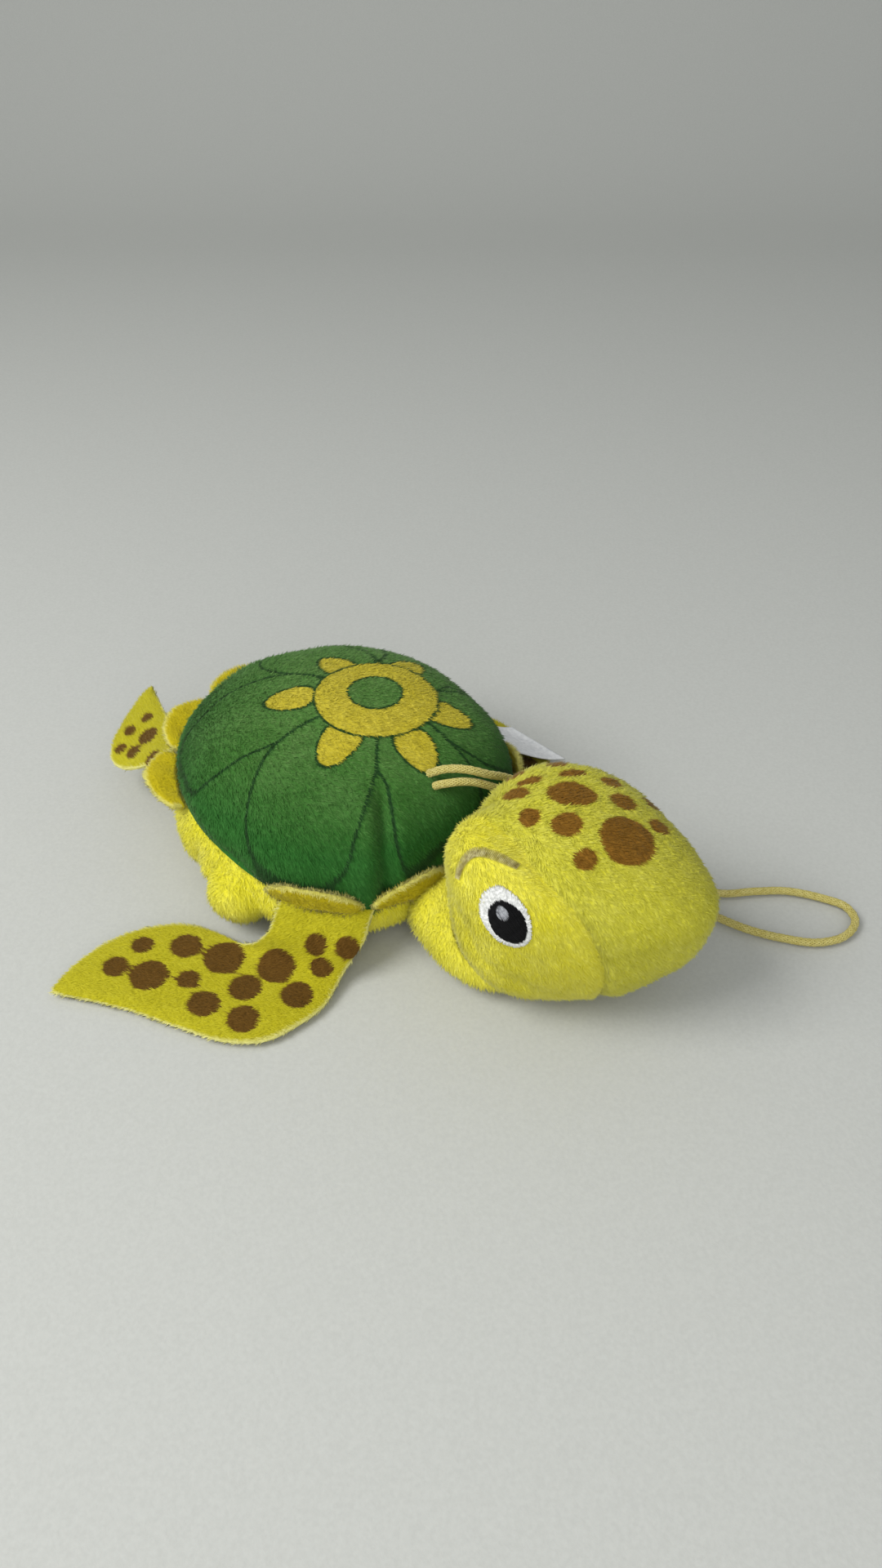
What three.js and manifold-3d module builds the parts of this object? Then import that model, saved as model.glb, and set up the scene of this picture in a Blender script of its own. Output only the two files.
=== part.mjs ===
// A small stuffed sea turtle with a hanging loop, in millimetres, +Z up.
// The turtle faces -Y and its left side is +X. The origin is on the surface that it lies on,
// under the middle of the shell.
// A printed dome and a stuffed belly are sewn together along one seam round the body. Petal-like
// lobes and four flat flippers are caught in that seam, and the head hangs on a stuffed neck.

import * as THREE from "three";
import { mergeVertices } from "three/addons/utils/BufferGeometryUtils.js";
import Module from "manifold-3d";

const wasm = await Module();
wasm.setup();

// Cloth, seams and clearances
const cloth = 1.2;
const seamGap = 0.3;
const cutOverrun = 4;
const flatCut = 0.5;

// How finely the stuffed forms are divided: round the body, and from seam to crown
const outerSegments = 52;
const innerSegments = 26;
const formRings = 8;
const headAround = 40;
const headUpright = 16;
const hollowAround = 24;
const hollowUpright = 10;

// Shell and belly
const shellHalfWidth = 36.5;
const shellHalfLength = 39.7;
const frontSquareness = 2.6;
const rearSquareness = 2;
const shellRise = 21;
const seamHeight = 17;
const seamPitchShare = 0.105;
const crownLeft = 8.8;
const crownForward = 10.1;
const domeRoundness = 0.84;
const bellySideSwell = 2.6;
const bellyDepthRoundness = 5;
const bellyOutRoundness = 2.6;
const haunchSwell = 3.2;
const haunchAngle = 80;
const haunchSpread = 13;
const tuckDepth = 1.6;
const tuckAngle = 96;
const tuckSpread = 6;

// Lobes along the seam, by their angles round the shell, where 90 is the tail
const lobeCloth = 1.3;
const rearLobeReach = 7;
const rearLobeLean = 14;
const frontLobeReach = 6;
const frontLobeLean = 74;
const lobePress = 14;
const lobePressAngle = -78;
const lobePressSpread = 30;
const lobeFullness = 0.6;
const rearLobeCount = 5;
const rearLobesFrom = 15.5;
const rearLobesTo = 162;
const frontLobeCount = 4;
const frontLobesFrom = -152;
const frontLobesTo = -24;
const lobeSpacing = 1.2;

// Head, measured from the middle of its round back
const headLeft = 7.3;
const headForward = 62.8;
const headHeight = 24.2;
const headTurn = 18;
const headTurnRight = -24;
const headTurnLeft = 8;
const headRadius = 24.5;
const headBack = 20;
const snoutLength = 33.5;
const crownHeight = 21.5;
const snoutTaperShare = 0.37;
const browSlopeShare = 0.55;
const jawSlopeShare = 0.3;
const snoutLift = 2.7;
const headPlanSquareness = 0.88;
const headSquareness = 0.81;
const browRidge = 0.8;
const neckHalfWidth = 16.5;
const neckHalfLength = 22.5;
const neckForward = 52;
const neckLeft = 1;
const neckTop = 12.2;
const neckClearance = 0.6;

// Stitched face
const stitchHeight = 0.6;
const eyeForward = -0.2;
const eyeUp = 7.4;
const eyeLength = 12.6;
const eyeWidth = 8.8;
const eyeTilt = 42;
const pupilLength = 9.8;
const pupilWidth = 6.6;
const pupilForward = 1.0;
const pupilDrop = 0.6;
const glintLength = 3.1;
const glintWidth = 2.1;
const glintBack = 1.4;
const glintUp = 1.5;
const browWidth = 1.2;
const browLength = 11.6;
const browRise = 7.4;
const browBack = -12.2;
const browUp = 9.7;

// Flippers
const flipperCloth = 0.9;
const bendShare = 0.45;
const restHeight = 0.1;
const frontFlipperInside = 23;
const frontFlipperReach = 55.3;
const frontFlipperForward = 42.7;
const frontFlipperSweep = 45.9;
const frontRootFrom = -118;
const frontRootTo = -146;
const rearFlipperInside = 12.5;
const rearFlipperReach = 21.5;
const rearFlipperBack = 38.4;
const rearFlipperLength = 25;
const rearRootFrom = 112;
const rearRootTo = 131;
const rootOutset = 2.2;
const rearRootOutset = 1.3;
const rootDrop = 3.2;
const leftRearDroop = 24;

// Hanging loop and care label
const cordDiameter = 2;
const cordSides = 8;
const cordSteps = 62;
const labelCloth = 0.4;
const labelLength = 19.1;
const labelTrim = 3.4;
const labelOutset = 2.7;
const labelRootFrom = -22;
const labelRootTo = 3;
const labelDrop = 9;
const labelSwing = 4.8;

// Colours
const green = 0x3f8a3c;
const yellow = 0xe6de3c;
const paleYellow = 0xd6d455;
const mustard = 0xc9a800;

const deg = THREE.MathUtils.degToRad;
const signedPower = (value, power) => Math.sign(value) * Math.abs(value) ** power;

// Makes one closed body of a three.js geometry: shared corners are merged, flat triangles are
// dropped, and the faces are turned outwards.
function closedBody(geometry) {
  const bare = geometry.clone();
  bare.deleteAttribute("normal");
  bare.deleteAttribute("uv");
  const merged = mergeVertices(bare, flatCut * 1e-4);
  const at = merged.getAttribute("position");
  const corners = [];
  const a = new THREE.Vector3();
  const b = new THREE.Vector3();
  const c = new THREE.Vector3();
  let volume = 0;
  for (let i = 0; i < merged.index.count; i += 3) {
    const [p, q, r] = [0, 1, 2].map((k) => merged.index.getX(i + k));
    if (p === q || q === r || r === p) continue;
    a.fromBufferAttribute(at, p);
    b.fromBufferAttribute(at, q);
    c.fromBufferAttribute(at, r);
    volume += a.dot(b.cross(c));
    corners.push(p, q, r);
  }
  if (volume < 0) corners.reverse();
  merged.setIndex(corners);
  return merged;
}

function toSolid(geometry) {
  const body = closedBody(geometry);
  return new wasm.Manifold(new wasm.Mesh({
    numProp: 3,
    vertProperties: new Float32Array(body.getAttribute("position").array),
    triVerts: new Uint32Array(body.index.array),
  }));
}

function toGeometry(solid) {
  const mesh = solid.getMesh();
  const geometry = new THREE.BufferGeometry();
  geometry.setAttribute("position", new THREE.BufferAttribute(mesh.vertProperties, 3));
  geometry.setIndex(new THREE.BufferAttribute(mesh.triVerts, 1));
  return geometry;
}

// Moves every corner of a geometry to where place(x, y, z) says.
function reshape(geometry, place) {
  const at = geometry.getAttribute("position");
  for (let i = 0; i < at.count; i += 1) {
    const to = place(at.getX(i), at.getY(i), at.getZ(i));
    at.setXYZ(i, to.x, to.y, to.z);
  }
  return geometry;
}

// A block with its lowest face at a height, for cutting or keeping what lies under it
function slab(bottom, thickness) {
  const box = new THREE.BoxGeometry(8 * shellHalfLength, 8 * shellHalfLength, thickness);
  return toSolid(box.translate(0, 0, bottom + thickness / 2));
}

const root = new THREE.Group();
const head = new THREE.Group();
head.position.set(headLeft, -headForward, headHeight);
head.rotation.z = deg(headTurn);
head.updateMatrix();
root.add(head);

function add(name, geometry, color, parent = root) {
  const material = new THREE.MeshStandardMaterial({ color, roughness: 0.95, metalness: 0 });
  const mesh = new THREE.Mesh(closedBody(geometry), material);
  mesh.name = name;
  parent.add(mesh);
}

// The seam round the body: an oval with a squarer front, which dips towards the head
function seamRadius(angle, inset = 0) {
  const squareness = Math.sin(angle) < 0 ? frontSquareness : rearSquareness;
  const across = Math.abs(Math.cos(angle) / (shellHalfWidth - inset)) ** squareness;
  const along = Math.abs(Math.sin(angle) / (shellHalfLength - inset)) ** squareness;
  return (across + along) ** (-1 / squareness);
}

const seamLevel = (y) => seamHeight + seamPitchShare * y;

function seamPoint(degrees, outset, drop) {
  const angle = deg(degrees);
  const radius = seamRadius(angle) + outset;
  const y = radius * Math.sin(angle);
  return new THREE.Vector3(radius * Math.cos(angle), y, seamLevel(y) - drop);
}

// The dome over the seam, with a wall that goes down past it. Its crown stands a little to the
// left and forward of the middle.
function domeSolid(inset, wall, segments) {
  const profile = [new THREE.Vector2(0, -1), new THREE.Vector2(1, -1)];
  for (let i = 0; i <= formRings; i += 1) {
    const turn = (Math.PI / 2) * (i / formRings);
    const share = i === formRings ? 0 : Math.cos(turn);
    profile.push(new THREE.Vector2(share, Math.sin(turn) ** domeRoundness));
  }
  return toSolid(reshape(new THREE.LatheGeometry(profile, segments), (x, lift, z) => {
    const angle = Math.atan2(z, x);
    const radius = seamRadius(angle, inset) * Math.hypot(x, z);
    const shift = Math.max(0, lift) ** (2 / domeRoundness);
    const y = radius * Math.sin(angle);
    const rise = lift < 0 ? -wall : (shellRise - inset) * lift;
    return new THREE.Vector3(
      radius * Math.cos(angle) + crownLeft * shift,
      y - crownForward * shift,
      seamLevel(y) + rise,
    );
  }));
}

// How far the belly swells past the seam at an angle from straight ahead: broad along the
// sides, round at the haunch behind each front flipper, drawn in at the tuck behind that
function bellySwell(fromAhead) {
  const side = bellySideSwell * Math.sin(fromAhead) ** 2;
  const haunch = haunchSwell * Math.exp(-(((fromAhead - deg(haunchAngle)) / deg(haunchSpread)) ** 2));
  const tuck = tuckDepth * Math.exp(-(((fromAhead - deg(tuckAngle)) / deg(tuckSpread)) ** 2));
  return side + haunch - tuck;
}

// The belly under the seam, with a wall that goes up past it, cut flat where it rests
function bellySolid(inset, wall, segments) {
  const profile = [new THREE.Vector2(0, 1), new THREE.Vector2(1, 1)];
  for (let i = 0; i <= formRings; i += 1) {
    const turn = (Math.PI / 2) * (i / formRings);
    const share = i === formRings ? 0 : Math.cos(turn) ** (2 / bellyOutRoundness);
    profile.push(new THREE.Vector2(share, -(Math.sin(turn) ** (2 / bellyDepthRoundness))));
  }
  const swollen = toSolid(reshape(new THREE.LatheGeometry(profile, segments), (x, fall, z) => {
    const angle = Math.atan2(z, x);
    const share = Math.hypot(x, z);
    const fromAhead = Math.abs(Math.atan2(Math.cos(angle), -Math.sin(angle)));
    const swell = bellySwell(fromAhead) * Math.sin(Math.PI * Math.max(0, -fall));
    const radius = (seamRadius(angle, inset) + swell) * share;
    const y = radius * Math.sin(angle);
    const top = seamLevel(y);
    const depth = top + flatCut - inset;
    return new THREE.Vector3(radius * Math.cos(angle), y, top + (fall > 0 ? wall : depth * fall));
  }));
  const floor = slab(inset - shellHalfLength, shellHalfLength);
  return swollen.subtract(floor);
}

// Everything on one side of the seam, from a height over or under it
function pastSeam(side, height) {
  const block = slab(side > 0 ? 0 : -shellHalfLength, shellHalfLength);
  return toSolid(reshape(toGeometry(block), (x, y, z) => (
    new THREE.Vector3(x, y, z + seamLevel(y) + side * height))));
}

const stuffingInset = cloth + seamGap;
const domeSkin = domeSolid(0, cutOverrun, outerSegments)
  .subtract(domeSolid(cloth, 2 * cutOverrun, innerSegments));
const bellySkin = bellySolid(0, cutOverrun, outerSegments)
  .subtract(bellySolid(cloth, 2 * cutOverrun, innerSegments));
const bodyFill = domeSolid(stuffingInset, seamGap, innerSegments)
  .add(bellySolid(stuffingInset, seamGap, innerSegments));

add("shell_cover", toGeometry(domeSkin.intersect(pastSeam(1, seamGap / 2))), green);
add("belly_cover", toGeometry(bellySkin.intersect(pastSeam(-1, seamGap / 2))), yellow);
add("body_stuffing", toGeometry(bodyFill), 0xf2f2ee);

// A lobe: a double flap sewn in along the seam between two angles, with a round free edge. It
// leans up from level, and the head presses those behind it upright.
function lobe(from, to, size, leanFrom) {
  const flap = new THREE.BoxGeometry(1, 1, 1, 10, 2, 1);
  return reshape(flap, (x, y, z) => {
    const along = x + 1 / 2;
    const out = y + 1 / 2;
    const through = z + 1 / 2;
    const angle = THREE.MathUtils.lerp(from, to, along);
    const press = Math.exp(-(((angle - lobePressAngle) / lobePressSpread) ** 2));
    const lean = deg(leanFrom + lobePress * press);
    const foot = seamPoint(angle, seamGap, 0);
    const reach = out * size * Math.sin(Math.PI * (0.04 + 0.92 * along)) ** lobeFullness;
    const radial = reach * Math.cos(lean) + through * lobeCloth * Math.sin(lean);
    const rise = reach * Math.sin(lean) + (1 - through) * lobeCloth * Math.cos(lean);
    return new THREE.Vector3(
      foot.x + radial * Math.cos(deg(angle)),
      foot.y + radial * Math.sin(deg(angle)),
      foot.z + rise,
    );
  });
}

function lobeRow(label, count, from, to, size, lean) {
  const pitch = (to - from) / count;
  for (let i = 0; i < count; i += 1) {
    const start = from + pitch * i + lobeSpacing;
    const flap = lobe(start, start + pitch - 2 * lobeSpacing, size, lean);
    add(`shell_lobe_${label}_${i + 1}`, flap, mustard);
  }
}

lobeRow("rear", rearLobeCount, rearLobesFrom, rearLobesTo, rearLobeReach, rearLobeLean);
lobeRow("front", frontLobeCount, frontLobesFrom, frontLobesTo, frontLobeReach, frontLobeLean);

// Flipper outlines from the root to the tip, as shares of the flipper's own sizes:
// outwards, backwards, and up to the height of the root
const frontLeadShares = [
  [0.06, 0.085, 0.62], [0.125, 0.09, 0.2], [0.27, 0.017, 0], [0.4, 0, 0], [0.53, 0.02, 0],
  [0.64, 0.13, 0], [0.73, 0.33, 0], [0.82, 0.56, 0], [0.91, 0.74, 0], [0.985, 0.875, 0],
];
const frontTrailShares = [
  [0.268, 0.43, 0.68], [0.302, 0.475, 0.38], [0.33, 0.56, 0.14], [0.36, 0.7, 0.02],
  [0.434, 0.858, 0], [0.568, 0.967, 0], [0.698, 1, 0], [0.828, 0.987, 0], [0.93, 0.945, 0],
  [1, 0.9, 0],
];
// The left front flipper lies swept back along the body
const sweptLeadShares = [
  [0.071, 0.061, 0.62], [0.161, 0.072, 0.2], [0.288, 0.115, 0], [0.396, 0.192, 0], [0.486, 0.312, 0],
  [0.55, 0.464, 0], [0.595, 0.638, 0], [0.622, 0.834, 0], [0.622, 1.03, 0], [0.586, 1.205, 0],
];
const sweptTrailShares = [
  [0.262, 0.43, 0.86], [0.278, 0.49, 0.66], [0.297, 0.6, 0.38], [0.297, 0.758, 0.146],
  [0.275, 0.92, 0.03], [0.251, 1.052, 0], [0.246, 1.161, 0], [0.278, 1.27, 0], [0.369, 1.346, 0],
  [0.486, 1.325, 0],
];
const rearLeadShares = [
  [0.86, 0.02, 0.66], [0.95, 0.22, 0.52], [0.98, 0.4, 0.5], [0.86, 0.58, 0.57],
  [0.6, 0.76, 0.65], [0.3, 0.9, 0.74], [0.06, 0.99, 0.8],
];
const rearTrailShares = [
  [0.26, 0.16, 0.9], [0.24, 0.32, 0.86], [0.19, 0.48, 0.83], [0.14, 0.62, 0.82],
  [0.09, 0.76, 0.81], [0.05, 0.88, 0.8], [0.01, 0.99, 0.8],
];

const frontFlipper = {
  layerLean: 1.6,
  outset: rootOutset,
  roots: [frontRootFrom, frontRootTo],
  edges: [frontLeadShares, frontTrailShares],
  place: ([out, back], height) => new THREE.Vector3(
    -frontFlipperInside - out * frontFlipperReach,
    -frontFlipperForward + back * frontFlipperSweep,
    height,
  ),
};
const sweptFlipper = { ...frontFlipper, edges: [sweptLeadShares, sweptTrailShares] };
const rearFlipper = {
  layerLean: 0.3,
  outset: rearRootOutset,
  roots: [rearRootTo, rearRootFrom],
  edges: [rearLeadShares, rearTrailShares],
  place: ([out, back], height) => new THREE.Vector3(
    -rearFlipperInside - out * rearFlipperReach,
    rearFlipperBack + back * rearFlipperLength,
    height,
  ),
};

// The two edges of a flipper of the right side as smooth curves over the floor
function flipperEdges(kind) {
  const feet = kind.roots.map((angle) => seamPoint(angle, kind.outset, rootDrop));
  const curves = kind.edges.map((shares, side) => new THREE.CatmullRomCurve3([
    feet[side],
    ...shares.map((share) => kind.place(share, restHeight + share[2] * (feet[side].z - restHeight))),
  ]));
  return { feet, curves };
}

// One layer of a flipper, between two heights over its lower face. The heights lean outwards
// where the flipper falls steeply from its root. A raised flipper can droop about its root.
function flipperLayer(kind, from, to, droop) {
  const { feet, curves } = flipperEdges(kind);
  const hinge = feet[1].clone().sub(feet[0]).normalize();
  const outwards = new THREE.Vector3(hinge.y, -hinge.x, 0).normalize();
  if (outwards.dot(feet[0]) < 0) outwards.negate();
  return reshape(new THREE.BoxGeometry(1, 1, 1, 16, 4, 1), (x, y, z) => {
    const along = x + 1 / 2;
    const [lead, trail] = curves.map((curve) => curve.getPoint(along));
    const point = lead.lerp(trail, y + 1 / 2);
    point.z = Math.max(point.z, restHeight);
    const lean = kind.layerLean * Math.max(0, 1 - along / bendShare);
    const raised = new THREE.Vector3(0, 0, 1).addScaledVector(outwards, lean).normalize();
    point.addScaledVector(raised, THREE.MathUtils.lerp(from, to, z + 1 / 2));
    return point.sub(feet[0]).applyAxisAngle(hinge, -deg(droop)).add(feet[0]);
  });
}

function addFlipper(name, kind, mirrored, droop = 0) {
  const layers = {
    bottom: [0, flipperCloth],
    top: [flipperCloth + seamGap, 2 * flipperCloth + seamGap],
  };
  for (const [side, [from, to]] of Object.entries(layers)) {
    const layer = flipperLayer(kind, from, to, droop);
    if (mirrored) layer.scale(-1, 1, 1);
    add(`${name}_${side}`, layer, paleYellow);
  }
}

addFlipper("front_flipper_right", frontFlipper, false);
addFlipper("front_flipper_left", sweptFlipper, true);
addFlipper("rear_flipper_right", rearFlipper, false);
addFlipper("rear_flipper_left", rearFlipper, true, leftRearDroop);

// The head's outside: round at the back, tapering and sloping to the snout. A point is given as
// left, forward and up from the head's middle.
function headSize(forward, up) {
  const share = THREE.MathUtils.clamp(forward / snoutLength, 0, 1);
  const slope = up > 0 ? 1 - browSlopeShare * share ** 1.5 : 1 - jawSlopeShare * share ** 2;
  return {
    width: headRadius * (1 - snoutTaperShare * share),
    height: (up > 0 ? crownHeight : headHeight + flatCut) * slope,
    lift: snoutLift * share,
  };
}

function headSolid(inset, across, upright) {
  const ball = new THREE.SphereGeometry(1, across, upright).rotateX(Math.PI / 2);
  const shaped = toSolid(reshape(ball, (x, y, z) => {
    const latitude = Math.asin(THREE.MathUtils.clamp(z, -1, 1));
    const longitude = Math.atan2(y, x);
    const ring = Math.max(0, Math.cos(latitude)) ** headSquareness;
    const length = Math.sin(longitude) < 0 ? snoutLength : headBack;
    const forward = -ring * length * signedPower(Math.sin(longitude), headPlanSquareness);
    const { width, height, lift } = headSize(forward, z);
    const point = new THREE.Vector3(
      ring * width * signedPower(Math.cos(longitude), headPlanSquareness),
      -forward,
      height * signedPower(Math.sin(latitude), headSquareness) + lift,
    );
    return point.multiplyScalar(1 - inset / headRadius);
  }));
  return shaped.subtract(slab(-headHeight + inset - shellHalfLength, shellHalfLength));
}

// How far out the cheek is at a place given by forward and up
function cheekOut(forward, up) {
  const { width, height, lift } = headSize(forward, up);
  const latitude = Math.asin(signedPower((up - lift) / height, 1 / headSquareness));
  const ring = Math.cos(latitude) ** headSquareness;
  const length = forward > 0 ? snoutLength : headBack;
  const along = signedPower(forward / (ring * length), 1 / headPlanSquareness);
  return ring * width * Math.sqrt(1 - along ** 2) ** headPlanSquareness;
}

// The seam between the crown panel and the cheeks, seen from the side, back to front, as
// shares of the snout's length forward and the crown's height up
const browSeamShares = [
  [-0.8, 0.62], [-0.5, 0.8], [-0.27, 0.9], [-0.05, 0.87], [0.17, 0.72],
  [0.37, 0.44], [0.51, 0], [0.51, -0.36], [0.46, -0.74], [0.42, -1.3],
];

function crownRegion(grow) {
  const seam = new THREE.SplineCurve(browSeamShares.map(([forward, up]) => (
    new THREE.Vector2(forward * snoutLength - grow, up * crownHeight - grow))));
  const far = 2 * snoutLength;
  const outline = new THREE.Shape([
    ...seam.getPoints(24),
    new THREE.Vector2(far, -far),
    new THREE.Vector2(far, far),
    new THREE.Vector2(-far, far),
    new THREE.Vector2(-far, browSeamShares[0][1] * crownHeight - grow),
  ]);
  const wide = 4 * headRadius;
  const block = new THREE.ExtrudeGeometry(outline, { depth: wide, bevelEnabled: false, steps: 1 });
  return toSolid(reshape(block, (x, y, z) => new THREE.Vector3(wide / 2 - z, -x, y)));
}

function sideRegion(side) {
  const half = new THREE.BoxGeometry(4 * headRadius, 8 * headRadius, 8 * headRadius);
  return toSolid(half.translate(side * (2 * headRadius + seamGap / 2), 0, 0));
}

const headHollow = headSolid(cloth, hollowAround, hollowUpright);
const headSkin = headSolid(0, headAround, headUpright).subtract(headHollow);
const crownSkin = headSolid(-browRidge, headAround, headUpright).subtract(headHollow);
add("crown_panel", toGeometry(crownSkin.intersect(crownRegion(0))), paleYellow, head);
const cheeks = headSkin.subtract(crownRegion(seamGap));
for (const [name, side] of [["right", -1], ["left", 1]]) {
  add(`cheek_${name}`, toGeometry(cheeks.intersect(sideRegion(side))), yellow, head);
}
const headFill = headSolid(stuffingInset, hollowAround, hollowUpright);
add("head_stuffing", toGeometry(headFill), 0xf2f2ee, head);

// The neck: a stuffed roll that fills the space between belly and head, under the lobes. It
// leaves room for the head as it turns.
const neckBall = new THREE.SphereGeometry(1, 28, 14).rotateX(Math.PI / 2);
const neckMiddle = (neckTop + neckClearance) / 2;
const neckRoll = toSolid(reshape(neckBall, (x, y, z) => {
  const ring = Math.hypot(x, y) ** headSquareness;
  const angle = Math.atan2(y, x);
  return new THREE.Vector3(
    neckLeft + neckHalfWidth * ring * Math.cos(angle),
    -neckForward + neckHalfLength * ring * Math.sin(angle),
    neckMiddle + (neckTop - neckMiddle) * signedPower(z, headSquareness),
  );
}));
const headRoom = toGeometry(headSolid(-seamGap - browRidge, hollowAround, hollowUpright));
let neckSolid = neckRoll.subtract(bellySolid(-seamGap, seamGap, outerSegments));
for (const turn of [headTurnRight, headTurnRight / 2, 0, headTurnLeft]) {
  const turned = headRoom.clone().rotateZ(deg(turn)).applyMatrix4(head.matrix);
  neckSolid = neckSolid.subtract(toSolid(turned));
}
add("neck", toGeometry(neckSolid), yellow);

// Raises a flat shape drawn over the cheek, on either side, to a stitched pad
function onCheek(geometry, side) {
  const step = flatCut;
  return reshape(geometry, (forward, up, lift) => {
    const out = cheekOut(forward, up);
    const normal = new THREE.Vector3(
      1,
      (cheekOut(forward + step, up) - out) / step,
      (out - cheekOut(forward, up + step)) / step,
    ).normalize().multiplyScalar(seamGap + stitchHeight * lift);
    return new THREE.Vector3(side * (out + normal.x), -forward + normal.y, up + normal.z);
  });
}

function stitchedOval([forward, up], length, width, side, thickness = 1) {
  const disc = new THREE.CylinderGeometry(1, 1, thickness, 28, 1).rotateX(Math.PI / 2);
  reshape(disc, (x, y, z) => {
    const across = (x * width) / 2;
    const along = (y * length) / 2;
    const tilt = deg(eyeTilt);
    return new THREE.Vector3(
      forward + across * Math.cos(tilt) - along * Math.sin(tilt),
      up + across * Math.sin(tilt) + along * Math.cos(tilt),
      z + 1 / 2,
    );
  });
  return toSolid(onCheek(disc, side));
}

function eye(name, side) {
  const pupilAt = [eyeForward + pupilForward, eyeUp - pupilDrop];
  const glintAt = [pupilAt[0] - glintBack, pupilAt[1] + glintUp];
  const grow = 2 * seamGap;
  const white = stitchedOval([eyeForward, eyeUp], eyeLength, eyeWidth, side);
  const pupilRoom = stitchedOval(pupilAt, pupilLength + grow, pupilWidth + grow, side, cutOverrun);
  const pupil = stitchedOval(pupilAt, pupilLength, pupilWidth, side);
  const glintRoom = stitchedOval(glintAt, glintLength + grow, glintWidth + grow, side, cutOverrun);
  const glint = stitchedOval(glintAt, glintLength, glintWidth, side);
  add(`eye_white_${name}`, toGeometry(white.subtract(pupilRoom)), 0xf4f4f0, head);
  add(`eye_pupil_${name}`, toGeometry(pupil.subtract(glintRoom)), 0x0c0c0e, head);
  add(`eye_glint_${name}`, toGeometry(glint), 0xb9bcc0, head);
}

// The eyebrow's middle line from back to front, as shares of its length and rise
const browShares = [[0.03, 0], [0.11, 0.49], [0.35, 0.88], [0.67, 1], [1, 0.93]];

function eyebrow(name, side) {
  const line = new THREE.SplineCurve(browShares.map(([forward, up]) => (
    new THREE.Vector2(browBack + forward * browLength, browUp + up * browRise))));
  const strip = new THREE.BoxGeometry(1, 1, 1, 14, 1, 1);
  reshape(strip, (x, y, z) => {
    const at = line.getPoint(x + 1 / 2);
    const way = line.getTangent(x + 1 / 2);
    const off = y * browWidth;
    return new THREE.Vector3(at.x - way.y * off, at.y + way.x * off, z + 1 / 2);
  });
  add(`brow_${name}`, onCheek(strip, side), 0xa88d2e, head);
}

for (const [name, side] of [["right", -1], ["left", 1]]) {
  eye(name, side);
  eyebrow(name, side);
}

// The hanging loop: one cord whose two ends are sewn into the front of the dome. It arches
// behind the head, drops on its left and lies on the surface.
const cordRoute = [
  [2.2, -29.4, 33.4], [2.5, -30.7, 34.4], [3.4, -32.4, 35.6], [5, -34.6, 36.3],
  [7.3, -36.9, 36], [10.6, -38.7, 34.2], [16, -39.6, 30.8], [26, -42.2, 22.2],
  [33.5, -47.8, 13.4], [38.5, -55.6, 5.6], [43.1, -64.8, 1.6], [49.1, -76.2, 1.15],
  [55.5, -81.2, 1.15], [61.2, -86.2, 1.15], [65.2, -93, 1.15], [66.7, -97.9, 1.15],
  [64.5, -101.8, 1.15], [58.7, -102.9, 1.15], [52.5, -99.9, 1.15], [47.8, -93.7, 1.15],
  [44.5, -87.2, 1.15], [42.1, -78.6, 1.15], [39.9, -68.6, 1.3], [36.9, -58.2, 3],
  [33.3, -51, 8.8], [27.2, -45.1, 16.2], [18.9, -41.2, 25.2], [11.8, -39.8, 30.6],
  [7.9, -38, 33], [5, -36.2, 33.7], [3.1, -34.1, 33], [2.3, -32.5, 32.1],
  [1.9, -31.6, 31.4],
];

function hangCord() {
  const route = new THREE.CatmullRomCurve3(cordRoute.map((at) => new THREE.Vector3(...at)));
  const ring = [];
  for (let i = 0; i < cordSides; i += 1) {
    const turn = (2 * Math.PI * (i + 1 / 2)) / cordSides;
    const radius = cordDiameter / 2;
    ring.push(new THREE.Vector2(radius * Math.cos(turn), radius * Math.sin(turn)));
  }
  const options = { steps: cordSteps, extrudePath: route, bevelEnabled: false };
  return new THREE.ExtrudeGeometry(new THREE.Shape(ring), options);
}

add("hang_cord", hangCord(), paleYellow);

// The care label: a bare ribbon sewn into the left side of the seam
function careLabel() {
  const feet = [labelRootFrom, labelRootTo].map((angle) => seamPoint(angle, labelOutset, rootDrop));
  const ribbon = new THREE.BoxGeometry(1, 1, 1, 8, 2, 1);
  return reshape(ribbon, (x, y, z) => {
    const out = x + 1 / 2;
    const foot = feet[0].clone().lerp(feet[1], y + 1 / 2);
    return new THREE.Vector3(
      foot.x + (labelLength - labelTrim * (y + 1 / 2)) * out,
      foot.y - labelSwing * out ** 2,
      foot.z - labelDrop * Math.sin((Math.PI / 2) * out) ** 1.5 + labelCloth * (z + 1 / 2),
    );
  });
}

add("care_label", careLabel(), 0xe9e9e6);

export default root;
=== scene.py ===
# %% [markdown]
# A small stuffed sea turtle with a hanging loop.
# The real one is a short-pile plush toy: a printed dome and a yellow belly sewn along one seam,
# petal lobes and flat flippers caught in that seam, a stuffed head with stitched eyes, a braided
# loop and a blank satin label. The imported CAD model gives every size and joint. Here each soft
# solid is replaced by a finer form, and a pile of real tufts is grown on it.

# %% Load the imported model
import math
import bmesh
import bpy
import numpy as np
from mathutils import Matrix, Vector
from mathutils.bvhtree import BVHTree


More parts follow.
